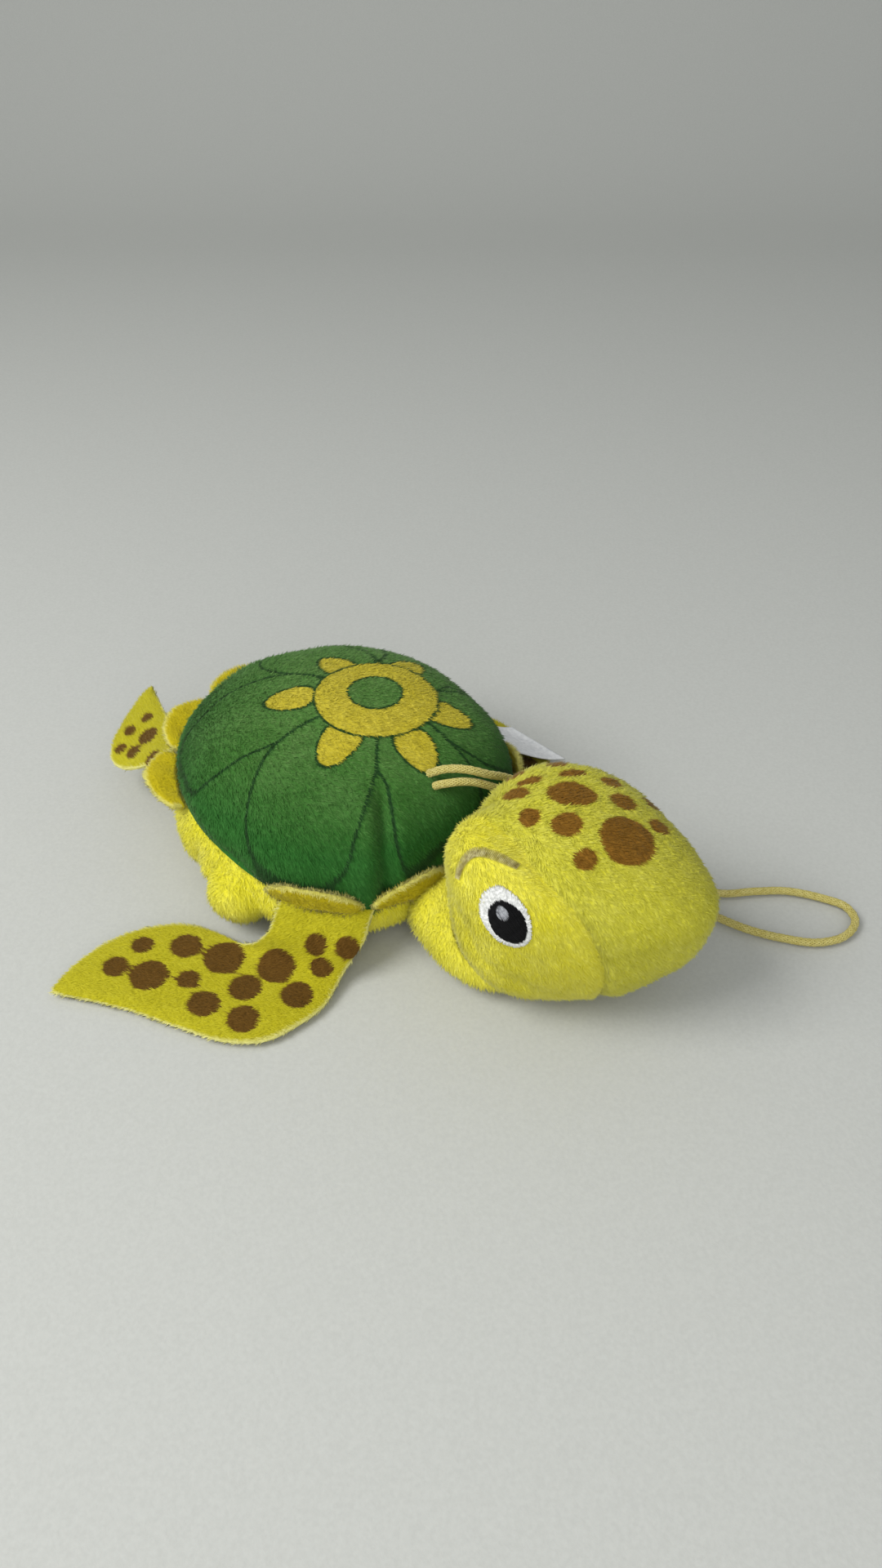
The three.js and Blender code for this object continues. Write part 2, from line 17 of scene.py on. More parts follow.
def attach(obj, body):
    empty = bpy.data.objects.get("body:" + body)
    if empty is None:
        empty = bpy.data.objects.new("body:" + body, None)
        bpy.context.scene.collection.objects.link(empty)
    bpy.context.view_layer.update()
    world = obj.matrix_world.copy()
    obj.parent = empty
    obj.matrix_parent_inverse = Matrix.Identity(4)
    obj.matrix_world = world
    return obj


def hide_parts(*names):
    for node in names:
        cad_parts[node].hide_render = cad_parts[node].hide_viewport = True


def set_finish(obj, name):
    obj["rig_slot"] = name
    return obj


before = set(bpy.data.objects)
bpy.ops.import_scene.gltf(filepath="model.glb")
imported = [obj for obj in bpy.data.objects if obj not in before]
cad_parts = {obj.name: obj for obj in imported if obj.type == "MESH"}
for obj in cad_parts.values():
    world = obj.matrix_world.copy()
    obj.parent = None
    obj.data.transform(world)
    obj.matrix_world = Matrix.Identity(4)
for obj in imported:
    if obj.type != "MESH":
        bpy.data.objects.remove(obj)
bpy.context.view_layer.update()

MM = 0.001
IMAGE_WIDTH, IMAGE_HEIGHT = 1080, 1920


def show(name, data):
    """A new object of that data, linked to the scene."""
    made = bpy.data.objects.new(name, data)
    bpy.context.scene.collection.objects.link(made)
    return made


# %% [markdown]
# The camera comes first. Its place was found by fitting a pinhole camera to the outline of the
# dome, the head and the eye, so that the picture frames the toy as the photograph does.

# %% Camera
camera_data = bpy.data.cameras.new("camera")
camera = show("camera", camera_data)
bpy.context.scene.camera = camera
CAMERA_HEADING = math.radians(-42)
camera.location = (-0.1272, -0.1770, 0.190)
camera.rotation_euler = (math.radians(50.9), 0, CAMERA_HEADING)
camera_data.sensor_fit = "VERTICAL"
camera_data.sensor_height = 36
camera_data.lens = 27.04
camera_data.clip_start = 0.01
print("camera at", tuple(camera.location))

# %% [markdown]
# Every curve in this file is a smooth line through a few points. Centripetal Catmull-Rom makes no
# loops and is what the CAD source uses, so the same points give the same line.

# %% A smooth line through points
def smooth_line(points, steps, even=False):
    """Places along the line through the points, at steps + 1 equal shares of its parts."""
    given = np.array(points, float)
    ends = (2 * given[0] - given[1], 2 * given[-1] - given[-2])
    known = np.vstack([ends[0], given, ends[1]])
    place = np.linspace(0, len(given) - 1, steps + 1)
    part = np.minimum(place.astype(int), len(given) - 2)
    share = (place - part)[:, None]
    a, b, c, d = (known[part + k] for k in range(4))
    gap = [np.ones((len(part), 1)) if even else
           np.maximum(np.linalg.norm(q - p, axis=1, keepdims=True), 1e-6) ** 0.5
           for p, q in ((a, b), (b, c), (c, d))]
    start = gap[1] * ((b - a) / gap[0] - (c - a) / (gap[0] + gap[1]) + (c - b) / gap[1])
    finish = gap[1] * ((c - b) / gap[1] - (d - b) / (gap[1] + gap[2]) + (d - c) / gap[2])
    cubic = 2 * b - 2 * c + start + finish
    square = -3 * b + 3 * c - 2 * start - finish
    return b + share * (start + share * (square + share * cubic))


# %% [markdown]
# The hanging loop is a round braided cord, 2 mm thick. A flat texture would do for a far view, but
# a braid is close to the camera here, so its strands are laid one by one: eight turn one way
# and eight the other, and each goes over and under those that it meets.

# %% Hanging loop
CORD_ROUTE = [
    (2.2, -29.4, 33.4), (2.5, -30.7, 34.4), (3.4, -32.4, 35.6), (5, -34.6, 36.3),
    (7.3, -36.9, 36), (10.6, -38.7, 34.2), (16, -39.6, 30.8), (26, -42.2, 22.2),
    (33.5, -47.8, 13.4), (38.5, -55.6, 5.6), (43.1, -64.8, 1.6), (49.1, -76.2, 1.15),
    (55.5, -81.2, 1.15), (61.2, -86.2, 1.15), (65.2, -93, 1.15), (66.7, -97.9, 1.15),
    (64.5, -101.8, 1.15), (58.7, -102.9, 1.15), (52.5, -99.9, 1.15), (47.8, -93.7, 1.15),
    (44.5, -87.2, 1.15), (42.1, -78.6, 1.15), (39.9, -68.6, 1.3), (36.9, -58.2, 3),
    (33.3, -51, 8.8), (27.2, -45.1, 16.2), (18.9, -41.2, 25.2), (11.8, -39.8, 30.6),
    (7.9, -38, 33), (5, -36.2, 33.7), (3.1, -34.1, 33), (2.3, -32.5, 32.1),
    (1.9, -31.6, 31.4),
]
STRANDS = 8
STRAND_PITCH = 7.5
STRAND_RADIUS, STRAND_REACH, STRAND_RISE = 0.2, 0.72, 0.06
CORD_STEP = 0.47


def even_line(points, step):
    """The same line with its places a step apart, and the length up to each place."""
    fine = smooth_line(points, 40 * len(points))
    run = np.concatenate([[0], np.cumsum(np.linalg.norm(np.diff(fine, axis=0), axis=1))])
    at = np.linspace(0, run[-1], int(run[-1] / step) + 1)
    return np.stack([np.interp(at, run, fine[:, k]) for k in range(3)], axis=1), at


def side_frames(line):
    """A pair of directions across the line at each place, which don't twist along it."""
    ways = np.gradient(line, axis=0)
    ways /= np.linalg.norm(ways, axis=1, keepdims=True)
    across = np.zeros_like(ways)
    across[0] = np.cross(ways[0], (0, 0, 1.0))
    for i in range(1, len(ways)):
        across[i] = across[i - 1] - ways[i] * np.dot(across[i - 1], ways[i])
    across /= np.linalg.norm(across, axis=1, keepdims=True)
    return across, np.cross(ways, across)


def strand_curve(name, lines, radius):
    """One mesh of round strands along lines."""
    curve = bpy.data.curves.new(name, "CURVE")
    curve.dimensions = "3D"
    curve.bevel_depth = radius * MM
    curve.bevel_resolution = 0
    curve.use_fill_caps = True
    for line in lines:
        spline = curve.splines.new("POLY")
        spline.points.add(len(line) - 1)
        spline.points.foreach_set("co", np.c_[line * MM, np.ones(len(line))].ravel())
    maker = show(name, curve)
    mesh = bpy.data.meshes.new_from_object(maker)
    bpy.data.objects.remove(maker)
    return mesh


cord_line, cord_run = even_line(CORD_ROUTE, CORD_STEP)
cord_across, cord_up = side_frames(cord_line)
strand_lines = [cord_line]
for way in (-1, 1):
    for k in range(STRANDS):
        turn = way * 2 * math.pi * cord_run / STRAND_PITCH + 2 * math.pi * k / STRANDS
        weave = STRANDS * 2 * math.pi * cord_run / STRAND_PITCH + math.pi * k
        over = STRAND_RISE * way * np.cos(weave)
        reach = (STRAND_REACH + over)[:, None]
        strand_lines.append(cord_line + reach * (
            np.cos(turn)[:, None] * cord_across + np.sin(turn)[:, None] * cord_up))
loop_mesh = strand_curve("hanging_loop", strand_lines[1:], STRAND_RADIUS)
core_mesh = strand_curve("loop_core", strand_lines[:1], STRAND_REACH)
builder = bmesh.new()
builder.from_mesh(loop_mesh)
builder.from_mesh(core_mesh)
builder.to_mesh(loop_mesh)
builder.free()
bpy.data.meshes.remove(core_mesh)
hanging_loop = show("hanging_loop", loop_mesh)
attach(hanging_loop, "body")
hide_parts("hang_cord")
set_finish(hanging_loop, "braided_cord")
print("cord length", round(cord_run[-1], 1), "mm;", len(loop_mesh.polygons), "faces")

# %% [markdown]
# The stuffed forms start as a ball, a grid or a slab from a bmesh operator, and every corner is
# then moved to where the toy's own shape puts it. The shape functions are those of the CAD
# source, drawn in by the length of the pile, so that the tips of the pile reach the CAD surface.

# %% Shape helpers
PILE = 0.6


def signed_power(value, power):
    return np.sign(value) * np.abs(value) ** power


def smoothstep(low, high, value):
    share = np.clip((value - low) / (high - low), 0, 1)
    return share * share * (3 - 2 * share)


def wander(at, size, seed=0):
    """A smooth uneven field over places, about -1 to 1, with lumps of about that size."""
    total = np.zeros(len(at))
    turner = np.random.default_rng(100 + seed)
    for octave in range(6):
        way = turner.normal(size=3)
        way *= (1.5 ** (octave % 3)) * math.pi / (size * np.linalg.norm(way))
        total += np.sin(at @ way + turner.uniform(0, 6.28)) / (1.3 ** (octave % 3))
    return total / 3.2


def ball(across, upright):
    shape = bmesh.new()
    bmesh.ops.create_uvsphere(shape, u_segments=across, v_segments=upright, radius=1)
    return shape


def block(across, along):
    """A slab of unit size from 0 to 1 each way, made of a grid pulled up once."""
    shape = bmesh.new()
    bmesh.ops.create_grid(shape, x_segments=across, y_segments=along, size=0.5)
    bmesh.ops.translate(shape, vec=(0.5, 0.5, 0), verts=shape.verts)
    pulled = bmesh.ops.extrude_face_region(shape, geom=shape.faces[:], use_keep_orig=True)
    upper = [v for v in pulled["geom"] if isinstance(v, bmesh.types.BMVert)]
    bmesh.ops.translate(shape, vec=(0, 0, 1), verts=upper)
    bmesh.ops.recalc_face_normals(shape, faces=shape.faces[:])
    return shape


def places(shape):
    return np.array([v.co for v in shape.verts], float)


def normals(shape):
    shape.normal_update()
    return np.array([v.normal for v in shape.verts], float)


def put(shape, at):
    for vert, to in zip(shape.verts, at):
        vert.co = to


def face_outwards(shape):
    """Turns the faces of a closed shape outwards, whatever way its corners were put."""
    bmesh.ops.recalc_face_normals(shape, faces=shape.faces[:])
    if shape.calc_volume(signed=True) < 0:
        bmesh.ops.reverse_faces(shape, faces=shape.faces[:])


def push(shape, field):
    """Moves each corner out along its normal."""
    put(shape, places(shape) + normals(shape) * field[:, None])


def line_distance(at, line):
    """The distance of flat places from a flat line, how far along it the nearest point is, and
    on which side of the line the place lies."""
    best = np.full(len(at), 1e9)
    along = np.zeros(len(at))
    side = np.ones(len(at))
    steps = np.linalg.norm(np.diff(line, axis=0), axis=1)
    run = np.concatenate([[0], np.cumsum(steps)])
    for i, (start, stop) in enumerate(zip(line[:-1], line[1:])):
        way = stop - start
        share = np.clip(((at - start) @ way) / max(way @ way, 1e-9), 0, 1)
        apart = np.linalg.norm(at - start - share[:, None] * way, axis=1)
        nearer = apart < best
        best[nearer] = apart[nearer]
        along[nearer] = (run[i] + share * steps[i])[nearer]
        off = at - start
        side[nearer] = np.where(way[0] * off[:, 1] > way[1] * off[:, 0], 1, -1)[nearer]
    return best, along, side


def inside(at, outline):
    """Which flat places are inside a closed outline."""
    within = np.zeros(len(at), bool)
    for (x0, y0), (x1, y1) in zip(outline, np.roll(outline, -1, axis=0)):
        crosses = (y0 > at[:, 1]) != (y1 > at[:, 1])
        with np.errstate(divide="ignore", invalid="ignore"):
            where = x0 + (at[:, 1] - y0) * (x1 - x0) / (y1 - y0)
        within ^= crosses & (at[:, 0] < where)
    return within


def closed_distance(at, outline):
    """The distance from a closed outline, above 0 inside it."""
    apart = line_distance(at, np.vstack([outline, outline[:1]]))[0]
    return np.where(inside(at, outline), apart, -apart)


pieces_made = {}


def finish_piece(name, shape, body, slot_name, nodes=(), marks=None, flat=False):
    """Makes a piece of a shape in millimetres, with its marks as attributes of its corners.

    Bare cloth has an even tone and no tips. The tufts get their own of both."""
    for face in shape.faces:
        face.smooth = not flat
    bmesh.ops.scale(shape, vec=(MM, MM, MM), verts=shape.verts)
    mesh = bpy.data.meshes.new(name)
    shape.to_mesh(mesh)
    shape.free()
    if marks:
        corners = len(mesh.vertices)
        marks = {"tone": np.full(corners, 0.5), "tip": np.zeros(corners)} | marks
    for key, values in (marks or {}).items():
        kind = "FLOAT_VECTOR" if np.ndim(values) == 2 else "FLOAT"
        mark = mesh.attributes.new(key, kind, "POINT")
        word = "vector" if kind == "FLOAT_VECTOR" else "value"
        mark.data.foreach_set(word, np.asarray(values, np.float32).ravel())
    piece = show(name, mesh)
    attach(piece, body)
    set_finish(piece, slot_name)
    if nodes:
        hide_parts(*nodes)
    pieces_made[name] = piece
    print(name, len(mesh.polygons), "faces")
    return piece


# %% [markdown]
# The pile is grown with geometry nodes: seeded points over the surface, each with a thin cone
# that leans along the nap. The nap and the share of pile are attributes of the corners, so the
# eyes and the hidden places stay bare. The result is realised as a mesh of its own. Its normals
# are those of the cloth under it, which gives plush its soft shading.

# %% Pile as a node tree
def pile_tree():
    tree = bpy.data.node_groups.new("short_pile", "GeometryNodeTree")
    face = tree.interface
    face.new_socket("Geometry", in_out="INPUT", socket_type="NodeSocketGeometry")
    for word in ("Density", "Length", "Width", "Lean", "Stray", "Clump"):
        face.new_socket(word, in_out="INPUT", socket_type="NodeSocketFloat")
    face.new_socket("Seed", in_out="INPUT", socket_type="NodeSocketInt")
    face.new_socket("Geometry", in_out="OUTPUT", socket_type="NodeSocketGeometry")
    nodes = tree.nodes
    link = tree.links.new
    given = nodes.new("NodeGroupInput").outputs
    result = nodes.new("NodeGroupOutput").inputs

    def attribute(name, kind):
        found = nodes.new("GeometryNodeInputNamedAttribute")
        found.data_type = kind
        found.inputs["Name"].default_value = name
        return found.outputs["Attribute"]

    def calc(kind, operation, *values):
        made = nodes.new(kind)
        made.operation = operation
        for k, value in enumerate(values):
            if isinstance(value, bpy.types.NodeSocket):
                link(value, made.inputs[k])
            else:
                made.inputs[k].default_value = value
        return made.outputs[0]

    def maths(operation, *values):
        return calc("ShaderNodeMath", operation, *values)

    def vectors(operation, a, b=None, scale=None):
        made = nodes.new("ShaderNodeVectorMath")
        made.operation = operation
        link(a, made.inputs[0])
        if b is not None:
            link(b, made.inputs[1])
        if scale is not None:
            if isinstance(scale, bpy.types.NodeSocket):
                link(scale, made.inputs["Scale"])
            else:
                made.inputs["Scale"].default_value = scale
        return made.outputs[0]

    def random_value(kind, low, high, seed):
        made = nodes.new("FunctionNodeRandomValue")
        made.data_type = kind
        slots = [s for s in made.inputs if s.enabled]
        slots[0].default_value = low
        slots[1].default_value = high
        link(maths("ADD", given["Seed"], seed), made.inputs["Seed"])
        return [s for s in made.outputs if s.enabled][0]

    spread = nodes.new("GeometryNodeDistributePointsOnFaces")
    link(given["Geometry"], spread.inputs["Mesh"])
    link(maths("MULTIPLY", given["Density"], attribute("pile", "FLOAT")),
         spread.inputs["Density"])
    link(given["Seed"], spread.inputs["Seed"])

    def store(geometry, domain, kind, name, value):
        made = nodes.new("GeometryNodeStoreNamedAttribute")
        made.data_type = kind
        made.domain = domain
        made.inputs["Name"].default_value = name
        link(geometry, made.inputs["Geometry"])
        link(value, [s for s in made.inputs if s.enabled and s.name == "Value"][0])
        return made.outputs["Geometry"]

    points = store(spread.outputs["Points"], "POINT", "FLOAT_VECTOR", "soft_normal",
                   spread.outputs["Normal"])
    upright = vectors("SCALE", spread.outputs["Normal"],
                      scale=maths("SUBTRACT", 1.0, given["Lean"]))
    leaning = vectors("SCALE", attribute("nap", "FLOAT_VECTOR"), scale=given["Lean"])
    stray = vectors("SCALE", random_value("FLOAT_VECTOR", (-1, -1, -1), (1, 1, 1), 3),
                    scale=given["Stray"])
    streaks = nodes.new("ShaderNodeTexNoise")
    streaks.inputs["Scale"].default_value = 1.0
    streaks.inputs["Detail"].default_value = 1.0
    stretched = nodes.new("ShaderNodeVectorMath")
    stretched.operation = "MULTIPLY"
    link(nodes.new("GeometryNodeInputPosition").outputs[0], stretched.inputs[0])
    stretched.inputs[1].default_value = (1500, 560, 560)
    link(stretched.outputs[0], streaks.inputs["Vector"])
    centred = nodes.new("ShaderNodeVectorMath")
    centred.operation = "SUBTRACT"
    link(streaks.outputs["Color"], centred.inputs[0])
    centred.inputs[1].default_value = (0.5, 0.5, 0.5)
    clump = vectors("SCALE", centred.outputs[0], scale=given["Clump"])
    way = vectors("ADD", vectors("ADD", vectors("ADD", upright, leaning), stray), clump)
    align = nodes.new("FunctionNodeAlignRotationToVector")
    align.axis = "Z"
    link(way, align.inputs["Vector"])

    cone = nodes.new("GeometryNodeMeshCone")
    cone.fill_type = "NGON"
    cone.inputs["Vertices"].default_value = 3
    cone.inputs["Side Segments"].default_value = 1
    cone.inputs["Radius Top"].default_value = 0
    link(given["Width"], cone.inputs["Radius Bottom"])
    link(given["Length"], cone.inputs["Depth"])
    height = nodes.new("ShaderNodeSeparateXYZ")
    link(nodes.new("GeometryNodeInputPosition").outputs[0], height.inputs[0])
    tuft = store(cone.outputs["Mesh"], "POINT", "FLOAT", "tip",
                 maths("DIVIDE", height.outputs["Z"], given["Length"]))

    planted = nodes.new("GeometryNodeInstanceOnPoints")
    link(points, planted.inputs["Points"])
    link(tuft, planted.inputs["Instance"])
    link(align.outputs["Rotation"], planted.inputs["Rotation"])
    link(random_value("FLOAT", 0.55, 1.2, 5), planted.inputs["Scale"])
    streak_tone = nodes.new("ShaderNodeMapRange")
    link(streaks.outputs["Fac"], streak_tone.inputs["Value"])
    streak_tone.inputs["From Min"].default_value = 0.36
    streak_tone.inputs["From Max"].default_value = 0.64
    toned = store(planted.outputs["Instances"], "INSTANCE", "FLOAT", "tone", maths(
        "ADD", maths("MULTIPLY", random_value("FLOAT", 0.0, 1.0, 9), 0.5),
        maths("MULTIPLY", streak_tone.outputs[0], 0.5)))
    real = nodes.new("GeometryNodeRealizeInstances")
    link(toned, real.inputs["Geometry"])
    link(real.outputs["Geometry"], result["Geometry"])
    return tree


PILE_TREE = pile_tree()
PILE_SOCKETS = {item.name: item.identifier for item in PILE_TREE.interface.items_tree
                if item.in_out == "INPUT"}


def grow_pile(base, body, slot_name, tufts, length=1.5, width=0.13, lean=0.62, stray=0.2,
              clump=1.3, seed=1):
    """Grows about that many tufts on a piece, as a piece of its own."""
    mesh = base.data
    areas = np.zeros(len(mesh.polygons))
    mesh.polygons.foreach_get("area", areas)
    share = np.zeros(len(mesh.vertices))
    mesh.attributes["pile"].data.foreach_get("value", share)
    mean = np.array([share[list(face.vertices)].mean() for face in mesh.polygons])
    maker = base.copy()
    maker.data = mesh.copy()
    bpy.context.scene.collection.objects.link(maker)
    tool = maker.modifiers.new("pile", "NODES")
    tool.node_group = PILE_TREE
    values = {"Density": tufts / float((areas * mean).sum()), "Length": length * MM,
              "Width": width * MM, "Lean": lean, "Stray": stray, "Clump": clump, "Seed": seed}
    for word, value in values.items():
        tool[PILE_SOCKETS[word]] = value
    depsgraph = bpy.context.evaluated_depsgraph_get()
    grown = bpy.data.meshes.new_from_object(
        maker.evaluated_get(depsgraph), preserve_all_data_layers=True, depsgraph=depsgraph)
    bpy.data.objects.remove(maker)
    soft = np.zeros(3 * len(grown.vertices), np.float32)
    grown.attributes["soft_normal"].data.foreach_get("vector", soft)
    flat = np.zeros(3 * len(grown.vertices), np.float32)
    grown.vertices.foreach_get("normal", flat)
    mixed = soft.reshape(-1, 3) + 0.7 * flat.reshape(-1, 3)
    mixed /= np.linalg.norm(mixed, axis=1, keepdims=True)
    grown.polygons.foreach_set("use_smooth", np.ones(len(grown.polygons), bool))
    grown.normals_split_custom_set_from_vertices(mixed.tolist())
    grown.name = base.name + "_nap"
    pile = show(grown.name, grown)
    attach(pile, body)
    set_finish(pile, slot_name)
    pieces_made[pile.name] = pile
    print(pile.name, len(grown.polygons), "faces")
    return pile


def nap_along(shape, way):
    """The part of a direction that lies in the surface, at each corner."""
    out = normals(shape)
    way = np.broadcast_to(np.asarray(way, float), out.shape)
    flat = way - out * np.sum(way * out, axis=1, keepdims=True)
    return flat / np.maximum(np.linalg.norm(flat, axis=1, keepdims=True), 0.25)


# %% [markdown]
# The body is two cloths sewn together along one seam: the green printed dome and the yellow
# belly. The seam is a softened oval that dips a little towards the head, and each cloth rolls
# in where it meets the seam.

# %% The seam and the dome
HALF_WIDTH, HALF_LENGTH = 36.5, 39.7
FRONT_SQUARENESS, REAR_SQUARENESS = 2.6, 2.0
SHELL_RISE, ROUNDNESS = 21.0, 0.84
CROWN_LEFT, CROWN_FORWARD = 8.8, 10.1


def seam_radius(angle, inset=0.0):
    power = np.where(np.sin(angle) < 0, FRONT_SQUARENESS, REAR_SQUARENESS)
    across = np.abs(np.cos(angle) / (HALF_WIDTH - inset)) ** power
    along = np.abs(np.sin(angle) / (HALF_LENGTH - inset)) ** power
    return (across + along) ** (-1 / power)


def seam_level(y):
    return 17 + 0.105 * y


def seam_point(degrees, outset, drop):
    angle = np.radians(degrees)
    radius = seam_radius(angle) + outset
    y = radius * np.sin(angle)
    return np.stack([radius * np.cos(angle), y, seam_level(y) - drop], axis=-1)


def dome_at(unit, inset):
    """A ball's corners as the dome, with its lower half as the lining under it."""
    angle = np.arctan2(unit[:, 1], unit[:, 0])
    turn = np.arcsin(np.clip(unit[:, 2], -1, 1))
    lift = np.sin(np.maximum(turn, 0)) ** ROUNDNESS
    roll = 0.9 * np.exp(-np.abs(turn) / 0.05)
    radius = (seam_radius(angle, inset) - roll) * np.cos(turn)
    shift = lift ** (2 / ROUNDNESS)
    y = radius * np.sin(angle)
    under = 3.0 * np.sin(np.maximum(-turn, 0))
    z = seam_level(y) + (SHELL_RISE - inset) * lift + under
    return np.stack([radius * np.cos(angle) + CROWN_LEFT * shift, y - CROWN_FORWARD * shift, z],
                    axis=-1)


def make_lumpy(shape, seed):
    """Uneven lumps, as loose fibre has."""
    at = places(shape)
    push(shape, 0.5 * wander(at, 9, seed) + 0.25 * wander(at, 3, seed + 1))


# %% [markdown]
# The print of the dome is a ring with six petals and six scutes with fine outlines. Each corner
# of the cloth stores how far inside each printed shape it is. A distance that changes sign at the
# edge changes evenly over a face, so the material can cut a sharp line at zero on a mesh that is
# far coarser. Neighbouring scutes go into two different sets for the same reason.

# %% Shell print
RING_CENTRE = np.array([8.8, -3.8])
RING_OUTER, HOLE_CENTRE, HOLE_RADIUS = 14.3, np.array([9.25, -2.7]), 6.3
PETALS = [((-6.0, 9.6), 6.1, 4.1), ((-7.4, -10.1), 6.8, 4.6), ((4.8, -22.6), 6.4, 4.3),
          ((18.0, -17.6), 6.3, 4.3), ((22.6, 1.9), 5.6, 4.0), ((10.1, 13.0), 6.2, 3.9)]
PETAL_SQUARENESS, PETAL_TAPER = 2.2, 0.2
FAR_OUTSIDE = -9.0
SCUTES = [
    [(-11.9, 0.5), (-17.7, 0.0), (-23.2, -2.1), (-28.8, -5.5), (-32.5, -8.6), (-34.3, -12.0),
     (-34.5, -16.2), (-32.9, -21.9), (-29.9, -27.3), (-26.3, -30.8), (-22.5, -31.6),
     (-18.4, -29.5), (-13.8, -27.0), (-7.2, -22.5), (-5.9, -21.7), (-4.0, -19.3), (-1.1, -16.0),
     (2.0, -12.0), (-2.0, -3.0), (-6.3, -0.7)],
    [(3.5, 12.1), (0.0, 18.6), (-5.5, 24.2), (-11.9, 27.2), (-19.4, 26.6), (-24.9, 25.7),
     (-29.5, 21.3), (-32.4, 14.5), (-33.6, 8.5), (-30.8, 6.3), (-24.4, 3.8), (-16.6, 0.5),
     (-11.6, 0.5), (-6.3, -0.7), (-2.0, -2.0), (0.0, 3.0), (3.0, 8.0)],
    [(1.1, 16.8), (-0.5, 21.2), (-1.0, 26.4), (0.5, 31.5), (4.5, 34.8), (10.5, 34.2),
     (16.5, 30.0), (20.0, 23.0), (20.5, 16.5), (19.6, 10.4), (16.5, 6.0),
     (12.0, 6.0), (6.0, 8.0)],
    [(19.2, 8.0), (23.5, 11.0), (27.6, 16.6), (31.6, 15.4), (34.2, 10.0), (34.8, 2.0),
     (33.4, -5.6), (29.8, -9.6), (27.6, -8.0), (22.1, -9.1), (18.0, -6.0), (17.0, 3.0)],
    [(22.1, -9.6), (27.4, -10.4), (31.2, -11.2), (33.6, -16.0), (33.2, -22.4), (30.0, -28.4),
     (24.6, -32.0), (18.0, -31.9), (14.8, -28.7), (12.9, -25.4), (12.2, -20.4), (12.0, -14.0),
     (17.0, -10.0)],
    [(12.4, -21.0), (12.5, -25.9), (13.0, -30.8), (11.6, -36.0), (5.0, -38.2), (-3.6, -38.6),
     (-9.6, -38.6), (-12.3, -37.8), (-12.1, -35.8), (-9.0, -30.5), (-6.3, -25.3),
     (-5.9, -21.7), (-4.0, -19.3), (-1.1, -16.0), (2.0, -12.0), (11.0, -13.0)],
]


def shell_print(at):
    """How far inside the ring, the petals and the two sets of scutes each place is."""
    flat = at[:, :2]
    apart = np.linalg.norm(flat - RING_CENTRE, axis=1)
    ring = np.minimum(RING_OUTER - apart, np.linalg.norm(flat - HOLE_CENTRE, axis=1) - HOLE_RADIUS)
    petals = np.full(len(at), FAR_OUTSIDE)
    for centre, half_long, half_wide in PETALS:
        way = np.array(centre) - RING_CENTRE
        way /= np.linalg.norm(way)
        off = flat - centre
        along, across = off @ way, off @ np.array([-way[1], way[0]])
        taper = 1 - PETAL_TAPER * np.clip(along / half_long, -1, 1)
        shares = np.abs([along / half_long, across / (half_wide * taper)]) ** PETAL_SQUARENESS
        reach = (shares[0] + shares[1]) ** (1 / PETAL_SQUARENESS)
        petals = np.maximum(petals, (1 - reach) * half_wide)
    scutes = np.full((2, len(at)), FAR_OUTSIDE)
    for k, outline in enumerate(SCUTES):
        curve = smooth_line(outline + outline[:1], 8 * len(outline))
        scutes[k % 2] = np.maximum(scutes[k % 2], closed_distance(flat, curve[:-1]))
    return ring, petals, scutes


CREASE = smooth_line([(-5.9, -21.7), (-9.0, -25.4), (-11.9, -29.2), (-14.8, -33.2),
                      (-17.4, -36.2), (-20.0, -38.0)], 30)
DENT = smooth_line([(-28.8, 0.3), (-31.6, -4.1), (-34.0, -8.0), (-36.0, -11.0)], 16)
DART = math.radians(-120)

shell = ball(200, 100)
unit = places(shell)
put(shell, dome_at(unit, PILE))
at = places(shell)
outer = unit[:, 2] > -1e-4
angle = np.arctan2(unit[:, 1], unit[:, 0])
turn = np.degrees(np.arcsin(np.clip(unit[:, 2], -1, 1)))
fold, fold_along, fold_side = line_distance(at[:, :2], CREASE)
fold = fold * fold_side
dent = line_distance(at[:, :2], DENT)[0]
near_seam = np.exp(-np.maximum(turn, 0) / 9)
puckers = 0.3 * near_seam * wander(at, 5, 3)
deepening = smoothstep(0, 9, fold_along)
crease = -2.0 * np.exp(-((fold - 1.0) / 1.7) ** 2) + 0.8 * np.exp(-((fold + 3.2) / 2.4) ** 2)
field = (deepening * crease - 0.9 * np.exp(-(dent / 3.4) ** 2) + puckers
         + 0.6 * wander(at, 19, 4))
off_dart = np.angle(np.exp(1j * (angle - DART)))
dart = np.exp(-(off_dart / 0.085) ** 2) * np.exp(-np.maximum(turn, 0) / 8)
push(shell, np.where(outer, field, 0))
at = places(shell)
at[outer] += (dart[outer] * 1.6)[:, None] * np.stack(
    [np.cos(angle[outer]), np.sin(angle[outer]), -1.1 * np.ones(outer.sum())], axis=1)
put(shell, at)
ring_print, petal_print, scute_print = shell_print(dome_at(unit, 0))
shell_marks = {
    "ring": ring_print, "petal": petal_print, "scute_a": scute_print[0],
    "scute_b": scute_print[1], "pile": np.where(outer & (turn > 0.2), 1.0, 0.0),
    "nap": nap_along(shell, (0.12, -0.8, -0.62)),
}
shell_piece = finish_piece("shell_plush", shell, "body", "green_plush", ["shell_cover"],
                           marks=shell_marks)

# %% [markdown]
# The belly is deep and full. It bulges at the haunch behind each front flipper, is drawn in
# behind that, and puckers along the seam. It is flat only where it rests. The haunch on the right
# stands out as a ball of its own, with a pinch where its cloth was gathered.

